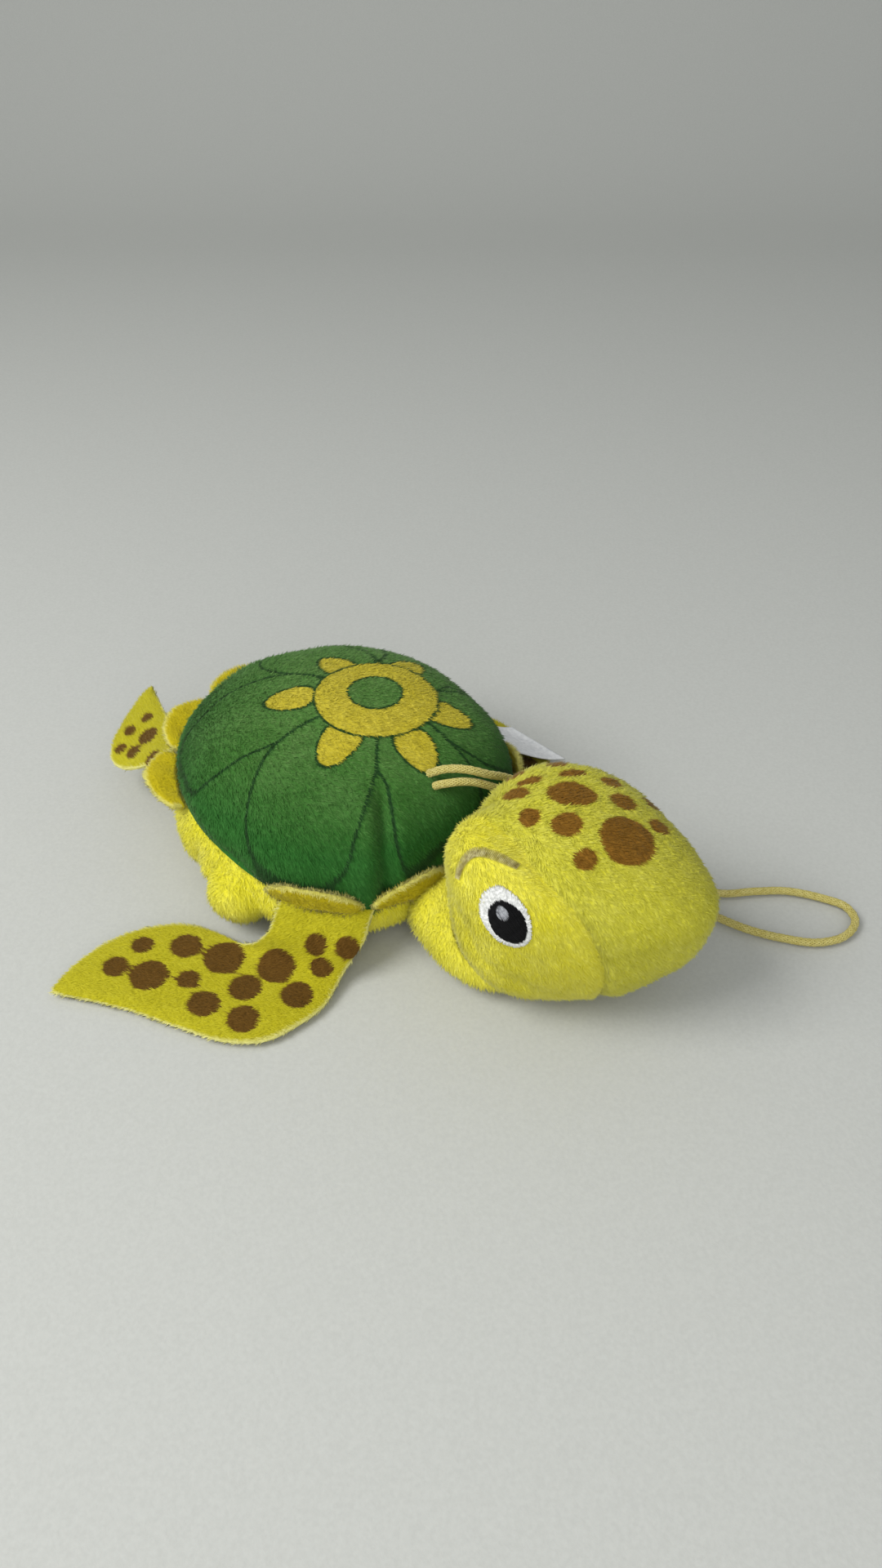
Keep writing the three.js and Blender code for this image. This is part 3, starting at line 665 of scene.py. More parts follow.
# %% Belly
def belly_at(unit, inset):
    angle = np.arctan2(unit[:, 1], unit[:, 0])
    latitude = np.arcsin(np.clip(unit[:, 2], -1, 1))
    down = np.maximum(-latitude, 0) / (math.pi / 2)
    turn = (math.pi / 2) * down ** 2.2
    share = np.where(latitude < 0, np.cos(turn) ** (2 / 2.6), np.cos(latitude))
    share = np.where(down > 0.9999, 0, share)
    fall = -np.sin(turn) ** (2 / 5)
    ahead = np.abs(np.arctan2(np.cos(angle), -np.sin(angle)))
    swell = (2.6 * np.sin(ahead) ** 2
             + 3.2 * np.exp(-((ahead - math.radians(80)) / math.radians(13)) ** 2)
             - 1.9 * np.exp(-((ahead - math.radians(96)) / math.radians(5)) ** 2))
    roll = 0.9 * np.exp(-np.abs(fall) / 0.05)
    radius = (seam_radius(angle, inset) - roll + swell * np.sin(math.pi * -fall)) * share
    y = radius * np.sin(angle)
    top = seam_level(y) - 0.2
    z = top + (top + 0.5 - inset) * fall - 2.0 * np.sin(np.maximum(latitude, 0))
    return np.stack([radius * np.cos(angle), y, np.maximum(z, inset * 0.3)], axis=-1)


HAUNCH = np.array([-37.0, -9.6, 7.0])
PINCH = np.array([-37.6, -2.0, 12.0])

belly = ball(180, 90)
unit = places(belly)
put(belly, belly_at(unit, PILE))
at = places(belly)
lower = unit[:, 2] < 1e-4
angle = np.arctan2(at[:, 1], at[:, 0])
below = np.maximum(seam_level(at[:, 1]) - at[:, 2], 0)
resting = smoothstep(0.6, 4, at[:, 2])
tucks = 0.5 * np.exp(-below / 3.4) * wander(at, 5, 6)
ball_apart = np.linalg.norm((at - HAUNCH) * (1, 1, 0.9), axis=1)
pinched = np.linalg.norm(at - PINCH, axis=1)
haunch = (2.3 * np.exp(-(ball_apart / 5.6) ** 4)
          - 1.7 * np.exp(-((ball_apart - 8.4) / 1.7) ** 2) * smoothstep(9, -2, at[:, 2] - 9)
          - 1.5 * np.exp(-(pinched / 2.0) ** 2))
push(belly, np.where(lower, (tucks + haunch + 0.5 * wander(at, 13, 7)) * resting, 0))
at = places(belly)
belly_marks = {"pile": np.where(lower, 0.25 + 0.75 * smoothstep(0.4, 3, at[:, 2]), 0),
               "nap": nap_along(belly, (0, -0.3, -0.95))}
belly_piece = finish_piece("belly_plush", belly, "body", "yellow_plush", ["belly_cover"],
                           marks=belly_marks)

# %% [markdown]
# Polyester fibrefill holds the body and the head out. It is inside, so a lumpy form a little
# smaller than the cloth is enough.

# %% Stuffing of the body
fill_shape = ball(60, 30)
unit = places(fill_shape)
upper_half = dome_at(unit, 4.6)
lower_half = belly_at(unit, 3.6)
put(fill_shape, np.where(unit[:, 2:3] >= 0, upper_half, lower_half))
make_lumpy(fill_shape, 20)
finish_piece("body_fibrefill", fill_shape, "body", "polyester_fill", ["body_stuffing"])

# %% [markdown]
# The head lies on a stuffed neck and presses it flat, so the head's sizes come first. The neck's
# top then follows the underside of the head in every direction that the head turns to.

# %% Head shape
HEAD_MIDDLE = np.array([7.3, -62.8, 24.2])
HEAD_TURN = math.radians(18)
SNOUT, CROWN_UP, HEAD_BACK = 33.5, 19.9, 20.0
HEAD_HALF_WIDTH, CHIN_DOWN, SNOUT_LIFT = 24.5, 24.7, 2.7
HEAD_PLAN, HEAD_SIDE = 0.88, 0.81
HEAD_TURNED = np.array(Matrix.Rotation(HEAD_TURN, 3, "Z"))


def head_size(forward, up):
    share = np.clip(forward / SNOUT, 0, 1)
    slope = np.where(up > 0, 1 - 0.55 * share ** 1.5, 1 - 0.3 * share ** 2)
    width = HEAD_HALF_WIDTH * (1 - 0.37 * share)
    height = np.where(up > 0, CROWN_UP, CHIN_DOWN) * slope
    return width, height, SNOUT_LIFT * share


def under_head(at):
    """The height of the head's underside over each place, the least as the head turns."""
    least = np.full(len(at), 99.0)
    for turn in (-8, 0, 8):
        angle = HEAD_TURN + math.radians(turn)
        off = at[:, :2] - HEAD_MIDDLE[:2]
        left = off @ np.array([math.cos(angle), math.sin(angle)])
        forward = off @ np.array([math.sin(angle), -math.cos(angle)])
        width, height, lift = head_size(forward, -np.ones(len(at)))
        length = np.where(forward > 0, SNOUT, HEAD_BACK)
        ring = np.hypot(np.abs(left / width) ** (1 / HEAD_PLAN),
                        np.abs(forward / length) ** (1 / HEAD_PLAN)) ** HEAD_PLAN
        drop = np.sin(np.arccos(np.minimum(ring, 1) ** (1 / HEAD_SIDE))) ** HEAD_SIDE
        under = HEAD_MIDDLE[2] + lift - height * drop
        least = np.minimum(least, np.where(ring < 1, under, 99.0))
    return least


# %% [markdown]
# The neck's own ball is wide and long for its height. Its top is clipped to the head's underside,
# so that the head seems to sink into it, and a little more so that no gap shows.

# %% Neck
neck = ball(120, 60)
unit = places(neck)
ring = np.hypot(unit[:, 0], unit[:, 1]) ** 0.81
angle = np.arctan2(unit[:, 1], unit[:, 0])
neck_at = np.stack([1 + (16.5 - PILE) * ring * np.cos(angle),
                    -52.0 + (22.5 - PILE) * ring * np.sin(angle),
                    np.where(unit[:, 2] > 0, 6.4 + 10 * np.abs(unit[:, 2]) ** 0.7,
                             6.4 - (5.8 - PILE) * np.abs(unit[:, 2]) ** 0.81)], axis=-1)
neck_at += normals(neck) * (0.5 * wander(neck_at, 8, 11))[:, None]
neck_at[:, 2] = np.clip(neck_at[:, 2], 0.4, np.maximum(under_head(neck_at) + 0.9, 0.5))
put(neck, neck_at)
neck_marks = {"pile": smoothstep(0.3, 2, neck_at[:, 2]),
              "nap": nap_along(neck, (-0.3, -0.4, -0.8))}
neck_piece = finish_piece("neck_plush", neck, "body", "yellow_plush", ["neck"],
                          marks=neck_marks)

# %% [markdown]
# The head is round at the back and slopes to the snout. It is three cloths: a spotted crown
# panel that runs over the top and down the front, and a yellow cheek on each side. Here the
# cheeks are one ball and the crown another that stands a little prouder. Past the seam each
# dives under the other, so they meet in a crisp line with the crown's edge over the cheek's.

# %% Head form
def head_at(unit, inset):
    """A ball's corners as the head, in the head's own frame: left, back, up."""
    latitude = np.arcsin(np.clip(unit[:, 2], -1, 1))
    longitude = np.arctan2(unit[:, 1], unit[:, 0])
    ring = np.maximum(np.cos(latitude), 0) ** HEAD_SIDE
    length = np.where(np.sin(longitude) < 0, SNOUT, HEAD_BACK)
    forward = -ring * length * signed_power(np.sin(longitude), HEAD_PLAN)
    width, height, lift = head_size(forward, unit[:, 2])
    at = np.stack([ring * width * signed_power(np.cos(longitude), HEAD_PLAN), -forward,
                   height * signed_power(np.sin(latitude), HEAD_SIDE) + lift], axis=-1)
    return at * (1 - inset / HEAD_HALF_WIDTH)


HEAD_FRAME = Matrix.Translation(HEAD_MIDDLE) @ Matrix.Rotation(HEAD_TURN, 4, "Z")


def head_world(at):
    """Places in the head's own frame, as places in the row frame."""
    return at @ HEAD_TURNED.T + HEAD_MIDDLE


BROW_SEAM = smooth_line([(f * SNOUT, u * CROWN_UP) for f, u in [
    (-0.78, -0.1), (-0.62, 0.15), (-0.53, 0.42), (-0.47, 0.62), (-0.43, 0.7), (-0.31, 0.825),
    (-0.155, 0.87), (-0.03, 0.853), (0.17, 0.7), (0.29, 0.58), (0.4, 0.41), (0.45, 0.28),
    (0.52, 0), (0.545, -0.34), (0.5, -0.74), (0.44, -1.3)]], 90, even=True)
CROWN_AREA = np.vstack([BROW_SEAM, [(70, -70), (70, 70), (-70, 70), (-70, -0.1 * CROWN_UP)]])
LEFT_SEAM_DROP = 3.0


def past_brow_seam(at):
    """How far each place of the head is past the seam, above 0 on the crown."""
    seen_up = at[:, 2] + LEFT_SEAM_DROP * smoothstep(0, 12, at[:, 0])
    side_view = np.stack([-at[:, 1], seen_up], axis=1)
    apart = line_distance(side_view, BROW_SEAM)[0]
    return np.where(inside(side_view, CROWN_AREA), apart, -apart)


def fullness(forward, up):
    """How far the stuffing pushes the side of the head out behind the brow, and in below it. The
    head is turned to its left, so its right side is the fuller one."""
    return (2.7 * np.exp(-((forward + 14) ** 2 / 80 + (up - 12.5) ** 2 / 60))
            - 0.5 * np.exp(-((forward + 13) ** 2 + (up + 8) ** 2) / 50))


def above_eye(at):
    """1 in the middle of the furrow over the eye, and 0 away from it."""
    return np.exp(-((-at[:, 1] + 3) ** 2 + (at[:, 2] - 17.5) ** 2) / 95)


def seam_valley(at, past):
    """The seam draws both cloths in, most over the eye."""
    return -(0.8 + 1.1 * above_eye(at)) * np.exp(-(past / (1.1 + 0.3 * above_eye(at))) ** 2)


def head_form(offset_of, seed):
    """The head's ball pushed out by the offsets of one cloth, and how far it is past the seam."""
    shape = ball(240, 120)
    at = head_at(places(shape), PILE)
    put(shape, at)
    past = past_brow_seam(at)
    full = fullness(-at[:, 1], at[:, 2]) * smoothstep(-3, -10, at[:, 0])
    push(shape, offset_of(at, past) + full + 0.35 * wander(at, 14, 30) + 0.12 * wander(at, 4, seed))
    at = places(shape)
    at[:, 2] = np.maximum(at[:, 2], -HEAD_MIDDLE[2] + 0.3)
    put(shape, at)
    return shape, past


# %% [markdown]
# The crown's spots are printed ovals, each with a slant and a size of its own. A spot is kept as
# its middle and two half axes, in millimetres forward and left of the head's middle. Solving for
# the shares of the two axes gives how far inside the oval any corner is.

# %% Crown panel
CROWN_SPOTS = [((13.9, -1.2), (5.2, -0.2), (-0.4, -5.9)), ((0.2, 2.6), (4.8, 1.5), (1.0, -3.7)),
               ((3.2, -5.6), (2.7, 1.4), (1.0, -2.7)), ((-4.1, -6.5), (1.8, 1.0), (1.3, -2.0)),
               ((9.3, -10.1), (1.6, 1.9), (1.4, -1.4)), ((8.9, 7.7), (2.6, 0.7), (0.2, -2.4)),
               ((-10.0, -0.8), (2.4, 0.8), (1.2, -2.0)), ((-2.7, 9.5), (2.3, 2.0), (0.7, -1.4)),
               ((4.5, 12.1), (2.0, 0.6), (0.4, -2.1)), ((16.9, 7.7), (2.0, 0.2), (0.2, -2.1)),
               ((-9.4, 3.6), (2.2, 1.3), (0.8, -1.2)), ((-7.6, 12.4), (2.0, 1.2), (1.0, -2.0)),
               ((12.2, 15.0), (1.7, 0.9), (1.0, -1.5)), ((-14.0, 7.0), (1.6, 1.0), (0.8, -1.7))]


def crown_offset(at, past):
    return seam_valley(at, past) - 1.7 * smoothstep(0.3, -0.9, past) + 0.12 * smoothstep(0, 3, past)


crown, past = head_form(crown_offset, 31)
at = places(crown)
spots = np.full(len(at), FAR_OUTSIDE)
for middle, one, other in CROWN_SPOTS:
    off = np.stack([-at[:, 1], at[:, 0]]) - np.array(middle)[:, None]
    shares = np.linalg.solve(np.array([one, other]).T, off)
    size = math.sqrt(abs(one[0] * other[1] - one[1] * other[0]))
    spots = np.maximum(spots, (1 - np.hypot(*shares)) * size)
spots = np.where(at[:, 2] > 0, spots, FAR_OUTSIDE)
crown_nap = nap_along(crown, np.stack([0.05 * at[:, 0] / 24, -np.ones(len(at)),
                                       -0.75 * np.ones(len(at))], axis=1))
put(crown, head_world(at))
crown_marks = {"spots": spots,
               "pile": np.where(past > -0.1, 1.0, 0.0) * smoothstep(-24, -21, at[:, 2]),
               "nap": crown_nap @ HEAD_TURNED.T}
crown_piece = finish_piece("crown_plush", crown, "head", "spotted_plush", ["crown_panel"],
                           marks=crown_marks)

# %% [markdown]
# The cheeks carry the stitched eyes, so the pile is cut away under these. Along the crown's seam
# the cheek cloth was eased in, which leaves small puckers that fade after a few millimetres. The
# brow is placed by sight: its line is given as the camera sees it, in the picture's own pixels,
# and rays from the camera carry it onto the cheek. A ray keeps the line true however the cloth
# bulges. The left brow mirrors the right one.

# %% Cheeks
EYE_AT, EYE_SIZE, EYE_TILT = (-0.05, 7.3), (12.3, 8.6), math.radians(44)
PUPIL_AT, PUPIL_SIZE = (0.7, 7.0), (8.9, 6.1)
GLINT_AT, GLINT_SIZE = (-0.45, 8.8), (2.9, 1.9)
BROW_SEEN = smooth_line([(562, 1076), (565, 1064), (572, 1052), (582, 1045), (595, 1045),
                         (610, 1050), (623, 1056), (635, 1062)], 53)
LEFT_BROW_DROP = 2.4


def seen_on_cheek(pixels, height=0.0):
    """The places on the right cheek, in the head's frame, that the camera sees at pixels."""
    focus = camera_data.lens / camera_data.sensor_height * IMAGE_HEIGHT
    to_head = HEAD_FRAME.inverted()
    eye = to_head @ (camera.location / MM)
    turned = to_head.to_3x3() @ camera.rotation_euler.to_matrix()
    found = []
    for x, y in pixels:
        way = turned @ Vector(((x - IMAGE_WIDTH / 2) / focus, (IMAGE_HEIGHT / 2 - y) / focus,
                               -1)).normalized()
        at, out, _, _ = CHEEK_TREE.ray_cast(eye, way)
        found.append(at + out * height)
    return np.array(found)


def left_of(on_right):
    """The places of the left cheek that mirror places of the right one, a little lower."""
    return np.array([CHEEK_TREE.find_nearest((-x, y, z - LEFT_BROW_DROP))[0]
                     for x, y, z in on_right])


def oval_reach(forward, up, middle, size):
    """1 on the edge of a tilted oval seen from the side, 0 in its middle."""
    df, du = forward - middle[0], up - middle[1]
    across = df * math.cos(EYE_TILT) + du * math.sin(EYE_TILT)
    along = -df * math.sin(EYE_TILT) + du * math.cos(EYE_TILT)
    return np.hypot(across / (size[1] / 2), along / (size[0] / 2))


NECK_FOLD = smooth_line([(-12.5, 7.0), (-10.9, 3.8), (-9.3, 0.9), (-7.3, -2.2), (-4.5, -5.1),
                         (-0.7, -7.5), (3.0, -9.6), (6.5, -11.7), (9.5, -14.5)], 40)


def cheek_offset(at, past):
    brow = above_eye(at)
    eased = 0.25 * brow * np.exp(-((past + 2.6) / 1.8) ** 2) * wander(at, 2.6, 35)
    ridge = 0.4 * np.exp(-((past + 3.0) / 1.6) ** 2) * brow
    side_view = np.stack([-at[:, 1], at[:, 2]], axis=1)
    fold, run, below = line_distance(side_view, NECK_FOLD)
    ends = smoothstep(0, 6, run) * smoothstep(0, 6, run[np.argmax(run)] - run)
    neck_fold = ends * (-0.5 * np.exp(-(fold / 2.2) ** 2)
                        + 0.4 * np.exp(-((fold * below + 5) / 3.0) ** 2))
    return seam_valley(at, past) + eased + ridge + neck_fold - 1.7 * smoothstep(0, 1.0, past)


cheeks, past = head_form(cheek_offset, 33)
at = places(cheeks)
eye_reach = oval_reach(-at[:, 1], at[:, 2], EYE_AT, EYE_SIZE)
CHEEK_TREE = BVHTree.FromBMesh(cheeks)
brow_right = seen_on_cheek(BROW_SEEN)
both_brows = np.vstack([brow_right, left_of(brow_right)])
brow_apart = np.min([np.linalg.norm(at - place, axis=1) for place in both_brows], axis=0)
on_side = np.abs(at[:, 0]) > 6
bare = on_side & ((eye_reach < 0.97) | (brow_apart < 0.9))
cheek_nap = nap_along(cheeks, np.stack([np.zeros(len(at)), -0.8 * np.ones(len(at)),
                                        -0.8 * np.ones(len(at))], axis=1))
put(cheeks, head_world(at))
cheek_marks = {"pile": (np.where((past < 0.4) & ~bare, 1.0, 0.0)
                        * (0.2 + 0.8 * smoothstep(-24, -21, at[:, 2]))),
               "nap": cheek_nap @ HEAD_TURNED.T}
cheeks_piece = finish_piece("cheeks_plush", cheeks, "head", "yellow_plush",
                            ["cheek_right", "cheek_left"], marks=cheek_marks)

head_fill = ball(48, 24)
put(head_fill, head_world(head_at(places(head_fill), 3.2)))
make_lumpy(head_fill, 24)
finish_piece("head_fibrefill", head_fill, "head", "polyester_fill", ["head_stuffing"])

# %% [markdown]
# The nine lobes are double flaps that stand along the seam, like the edge scutes of a shell. They
# are mustard on both faces, and their folded edge shows a pale fringe of pile.

# %% Lobes
LOBES = [("rear", (5.4, 5.4, 5.3, 5.6, 6.9), 15.5, 162, 14),
         ("front", (5.8, 5.2, 5.8, 5.8), -152, -24, 74)]


def lobe_at(unit, start, stop, size, lean_from):
    along, out, through = unit.T
    along = 0.5 - 0.5 * np.cos(math.pi * along)
    out = np.sin(out * math.pi / 2)
    angle = start + (stop - start) * along
    press = np.exp(-((angle + 78) / 30) ** 2)
    lean = np.radians(lean_from + 14 * press)
    foot = seam_point(angle, -0.2, 0)
    reach = out * size * np.sin(math.pi * (0.04 + 0.92 * along)) ** 0.6
    edge = np.minimum(1 - out, np.minimum(along, 1 - along) * 3)
    thick = 0.35 + 1.1 * np.clip(edge * 4, 0, 1) ** 0.5
    depth = (through - 0.5) * thick + 0.65
    cup = 0.5 * np.sin(math.pi * along) * out
    radial = reach * np.cos(lean) + (depth - cup) * np.sin(lean)
    rise = reach * np.sin(lean) + (1.3 - depth + cup) * np.cos(lean)
    turn = np.radians(angle)
    return foot + np.stack([radial * np.cos(turn), radial * np.sin(turn), rise], axis=-1), edge


lobe_pieces = []
for label, sizes, first, last, lean_from in LOBES:
    pitch = (last - first) / len(sizes)
    for k, size in enumerate(sizes):
        start = first + pitch * k + 1.2
        lobe = block(28, 12)
        unit = places(lobe)
        at, edge = lobe_at(unit, start, start + pitch - 2.4, size, lean_from)
        put(lobe, at)
        face_outwards(lobe)
        push(lobe, 0.22 * wander(at, 5, 40 + k))
        middle = at.mean(axis=0)
        outwards = np.array([middle[0], middle[1], 14.0])
        rim = np.exp(-edge / 0.08) * (unit[:, 1] > 0.15)
        marks = {"rim": rim, "pile": 0.35 + 0.65 * rim,
                 "nap": nap_along(lobe, outwards / np.linalg.norm(outwards))}
        name = f"lobe_{label}_{k + 1}_plush"
        lobe_pieces.append(finish_piece(name, lobe, "body", "mustard_plush",
                                        [f"shell_lobe_{label}_{k + 1}"], marks=marks))

# %% [markdown]
# The flippers are flat: two layers of plush sewn round the edge and turned, with no filling but
# their own pile. A point on one is given by its share along and its share across, between its two
# edge curves. The lower and the upper layer are pieces of their own, pinched together at the rim.

# %% Flipper shape
FRONT_EDGES = (
    [(.06, .085, .62), (.125, .09, .2), (.27, .017, 0), (.4, 0, 0), (.53, .02, 0),
     (.64, .13, 0), (.73, .33, 0), (.82, .56, 0), (.91, .74, 0), (.985, .875, 0)],
    [(.268, .43, .68), (.302, .475, .38), (.33, .56, .14), (.36, .7, .02), (.434, .858, 0),
     (.568, .967, 0), (.698, 1, 0), (.828, .987, 0), (.93, .945, 0), (1, .9, 0)])
SWEPT_EDGES = (
    [(.071, .061, .62), (.161, .072, .2), (.288, .115, 0), (.396, .192, 0), (.486, .312, 0),
     (.55, .464, 0), (.595, .638, 0), (.622, .834, 0), (.622, 1.03, 0), (.586, 1.205, 0)],
    [(.262, .43, .86), (.278, .49, .66), (.297, .6, .38), (.297, .758, .146), (.275, .92, .03),
     (.251, 1.052, 0), (.246, 1.161, 0), (.278, 1.27, 0), (.369, 1.346, 0), (.486, 1.325, 0)])
REAR_EDGES = (
    [(.86, .02, .66), (.95, .22, .52), (.98, .4, .5), (.86, .58, .57), (.6, .76, .65),
     (.3, .9, .74), (.06, .99, .8)],
    [(.26, .16, .9), (.24, .32, .86), (.19, .48, .83), (.14, .62, .82), (.09, .76, .81),
     (.05, .88, .8), (.01, .99, .8)])
FRONT_KIND = {"lean": 1.6, "outset": 2.2, "roots": (-118, -146), "start": (-23.0, -42.7),
              "size": (-55.3, 45.9)}
REAR_KIND = {"lean": 0.3, "outset": 1.3, "roots": (131, 112), "start": (-12.5, 38.4),
             "size": (-21.5, 25.0)}
FRONT_SPOTS = [(.633, .84, 2.8), (.742, .69, 3.1), (.675, .55, 4.3), (.535, .78, 3.7),
               (.455, .67, 4.7), (.583, .5, 2.9), (.59, .29, 3.7), (.46, .39, 3.8),
               (.52, .165, 3.6), (.285, .57, 4.4), (.335, .21, 3.6), (.095, .44, 2.7),
               (.085, .13, 2.7), (.205, .22, 2.8)]
REAR_SPOTS = [(.508, .733, 2.0), (.283, .600, 3.0), (.02, .3, 2.5), (.083, .083, 2.6),
              (.292, .283, 2.4), (.450, .200, 1.9), (.533, .400, 2.0)]


def edge_curves(kind, edges, steps=120):
    feet = seam_point(np.array(kind["roots"], float), kind["outset"], 3.2)
    curves = []
    for foot, shares in zip(feet, edges):
        points = [foot] + [(kind["start"][0] + out * kind["size"][0],
                            kind["start"][1] + back * kind["size"][1],
                            0.1 + up * (foot[2] - 0.1)) for out, back, up in shares]
        curves.append(smooth_line(points, steps))
    return feet, curves


def flipper_at(kind, edges, along, across, height, droop=0.0):
    feet, curves = edge_curves(kind, edges)
    hinge = (feet[1] - feet[0]) / np.linalg.norm(feet[1] - feet[0])
    outwards = np.array([hinge[1], -hinge[0], 0])
    outwards /= np.linalg.norm(outwards)
    if outwards @ feet[0] < 0:
        outwards = -outwards
    grid = np.linspace(0, 1, len(curves[0]))
    lead, trail = [np.stack([np.interp(along, grid, c[:, k]) for k in range(3)], axis=-1)
                   for c in curves]
    at = lead + (trail - lead) * across[:, None]
    at[:, 2] = np.maximum(at[:, 2], 0.1)
    sewn = seam_point(np.array(kind["roots"], float), 0.2, 0.3) - feet
    near_root = 1 - smoothstep(0, 0.07, along)
    at += near_root[:, None] * (sewn[0] + (sewn[1] - sewn[0]) * across[:, None])
    lean = kind["lean"] * np.maximum(0, 1 - along / 0.45)
    raised = np.stack([outwards[0] * lean, outwards[1] * lean, np.ones(len(at))], axis=-1)
    raised /= np.linalg.norm(raised, axis=1, keepdims=True)
    at = at + raised * height[:, None]
    turned = np.array(Matrix.Rotation(-math.radians(droop), 3, Vector(hinge)))
    return (at - feet[0]) @ turned.T + feet[0]


def flipper_layer(name, body, kind, edges, spots, mirrored, droop, upper, seed):
    shape = block(64, 34)
    unit = places(shape)
    along = unit[:, 0]
    across = 0.5 - 0.5 * np.cos(math.pi * unit[:, 1])
    rounded = 0.85 + 0.15 * np.sin((along - 0.85) / 0.15 * math.pi / 2)
    along = np.where(along > 0.85, rounded, along)
    edge = np.minimum(np.minimum(across, 1 - across) * 5, (1 - along) * 7)
    full = np.clip(edge, 0, 1) ** 0.5
    flat_at = flipper_at(kind, edges, along, across, np.zeros(len(along)), droop)
    soft = 0.18 * full * wander(flat_at, 16, seed) * (1 if upper else 0.2)
    if upper:
        low = 1.15 - 0.1 * full
        high = 1.3 + 0.85 * full + soft
    else:
        low = 1.0 - 0.95 * full
        high = 1.1 + 0 * full
    height = low + (high - low) * unit[:, 2]
    at = flipper_at(kind, edges, along, across, height, droop)
    marks_at = np.full(len(at), FAR_OUTSIDE)

    def place_of(share_along, share_across):
        shares = np.array([[share_along], [share_across], [1.0]])
        return flipper_at(kind, edges, *shares, droop)[0]

    for s_along, s_across, radius in spots:
        apart = np.linalg.norm(at - place_of(s_along, s_across), axis=1)
        marks_at = np.maximum(marks_at, radius - apart)
    if mirrored:
        at[:, 0] *= -1
    put(shape, at)
    face_outwards(shape)
    way = place_of(0.6, 0.5) - place_of(0.1, 0.5)
    if mirrored:
        way[0] *= -1
    facing = (unit[:, 2] > 0.5) if upper else (unit[:, 2] < 0.5)
    rim = np.exp(-edge / 0.16)
    marks = {"spots": marks_at if upper else np.full(len(at), FAR_OUTSIDE),
             "rim": rim, "flat": np.ones(len(at)),
             "pile": np.where(facing, 1.0 if upper else 0.25, 0.5),
             "nap": nap_along(shape, way / np.linalg.norm(way))}
    word = "top" if upper else "bottom"
    return finish_piece(f"{name}_{word}_plush", shape, body, "spotted_plush",
                        [f"{name}_{word}"], marks=marks)


FLIPPERS = [("front_flipper_right", FRONT_KIND, FRONT_EDGES, FRONT_SPOTS, False, 0.0),
            ("front_flipper_left", FRONT_KIND, SWEPT_EDGES, FRONT_SPOTS, True, 0.0),
            ("rear_flipper_right", REAR_KIND, REAR_EDGES, REAR_SPOTS, False, 0.0),
            ("rear_flipper_left", REAR_KIND, REAR_EDGES, REAR_SPOTS, True, 24.0)]
flipper_pieces = []
for index, (name, kind, edges, spots_at, mirrored, droop) in enumerate(FLIPPERS):
    for upper in (False, True):
        flipper_pieces.append(flipper_layer(name, name, kind, edges, spots_at, mirrored, droop,
                                            upper, 50 + index))

# %% [markdown]
# The care label is a blank satin ribbon, sewn into the left side of the seam. It droops onto the
# flipper, with a soft wave across it.

# %% Care label
LABEL_LENGTH, LABEL_TRIM, LABEL_SWING, LABEL_DROP = 19.1, 3.4, 4.8, 9.0
LABEL_FOOT, LABEL_CLOTH = 16.0, 0.25
label = bmesh.new()
bmesh.ops.create_grid(label, x_segments=48, y_segments=28, size=0.5)
unit = places(label)[:, :2] + 0.5
feet = seam_point(np.array([-22.0, 3.0]), 2.7, 3.2)
foot = feet[0] + (feet[1] - feet[0]) * unit[:, 1:2]
out = unit[:, 0]
wave = 0.35 * np.sin(unit[:, 1] * 5.2 + 0.8) * np.sin(math.pi * out) ** 0.7
label_at = np.stack([foot[:, 0] + (LABEL_LENGTH - LABEL_TRIM * unit[:, 1]) * out,
                     foot[:, 1] - LABEL_SWING * out ** 2,
                     foot[:, 2] - LABEL_DROP * np.sin(math.pi / 2 * out) ** 1.5 + 0.2 + wave],
                    axis=-1)
put(label, label_at)
label_area = sum(face.calc_area() for face in label.faces)
label_piece = finish_piece("care_label_satin", label, "label", "satin_ribbon", ["care_label"])
uv = label_piece.data.uv_layers.new(name="ribbon")
order = np.zeros(len(label_piece.data.loops), int)
label_piece.data.loops.foreach_get("vertex_index", order)
uv.data.foreach_set("uv", (unit * (LABEL_LENGTH, LABEL_FOOT))[order].ravel())
thicken = label_piece.modifiers.new("thickness", "SOLIDIFY")
thicken.thickness = LABEL_CLOTH * MM
thicken.offset = 0

# %% [markdown]
# The eyes and brows are embroidered. Satin stitch is many short threads side by side, so each
# thread is a thin stretched ball laid on the cheek, and the light breaks up on them as on the
# real eye. The white is a ring of radial stitches, and the pupil is filled along its length.

# %% Stitched eyes
def cheek_surface(forward, up, side, height):
    """Places over the cheek cloth, given from the side, in the row frame."""
    forward, up, height = np.broadcast_arrays(forward, up, height)
    found = np.empty(forward.shape + (3,))
    for k in np.ndindex(forward.shape):
        at, out, _, _ = CHEEK_TREE.ray_cast((60 * side, -forward[k], up[k]), (-side, 0, 0))
        found[k] = at + out * float(height[k])
    return head_world(found)


def oval_points(middle, size, along, across):
    """Side-view places in a tilted oval from its own shares, -1 to 1."""
    a, c = along * size[0] / 2, across * size[1] / 2
    return (middle[0] + c * math.cos(EYE_TILT) - a * math.sin(EYE_TILT),
            middle[1] + c * math.sin(EYE_TILT) + a * math.cos(EYE_TILT))


def stitch(shape, start, stop, width):
    """One thread as a stretched ball between two places of the row frame."""
    way = stop - start
    rotation = Vector(way).to_track_quat("X", "Z").to_matrix().to_4x4()
    stretch = Matrix.Diagonal((np.linalg.norm(way) / 2 * 1.06, width / 2, width / 2, 1))
    bmesh.ops.create_uvsphere(shape, u_segments=6, v_segments=4, radius=1,
                              matrix=Matrix.Translation((start + stop) / 2) @ rotation @ stretch
                              @ Matrix.Rotation(math.pi / 2, 4, "Y"))


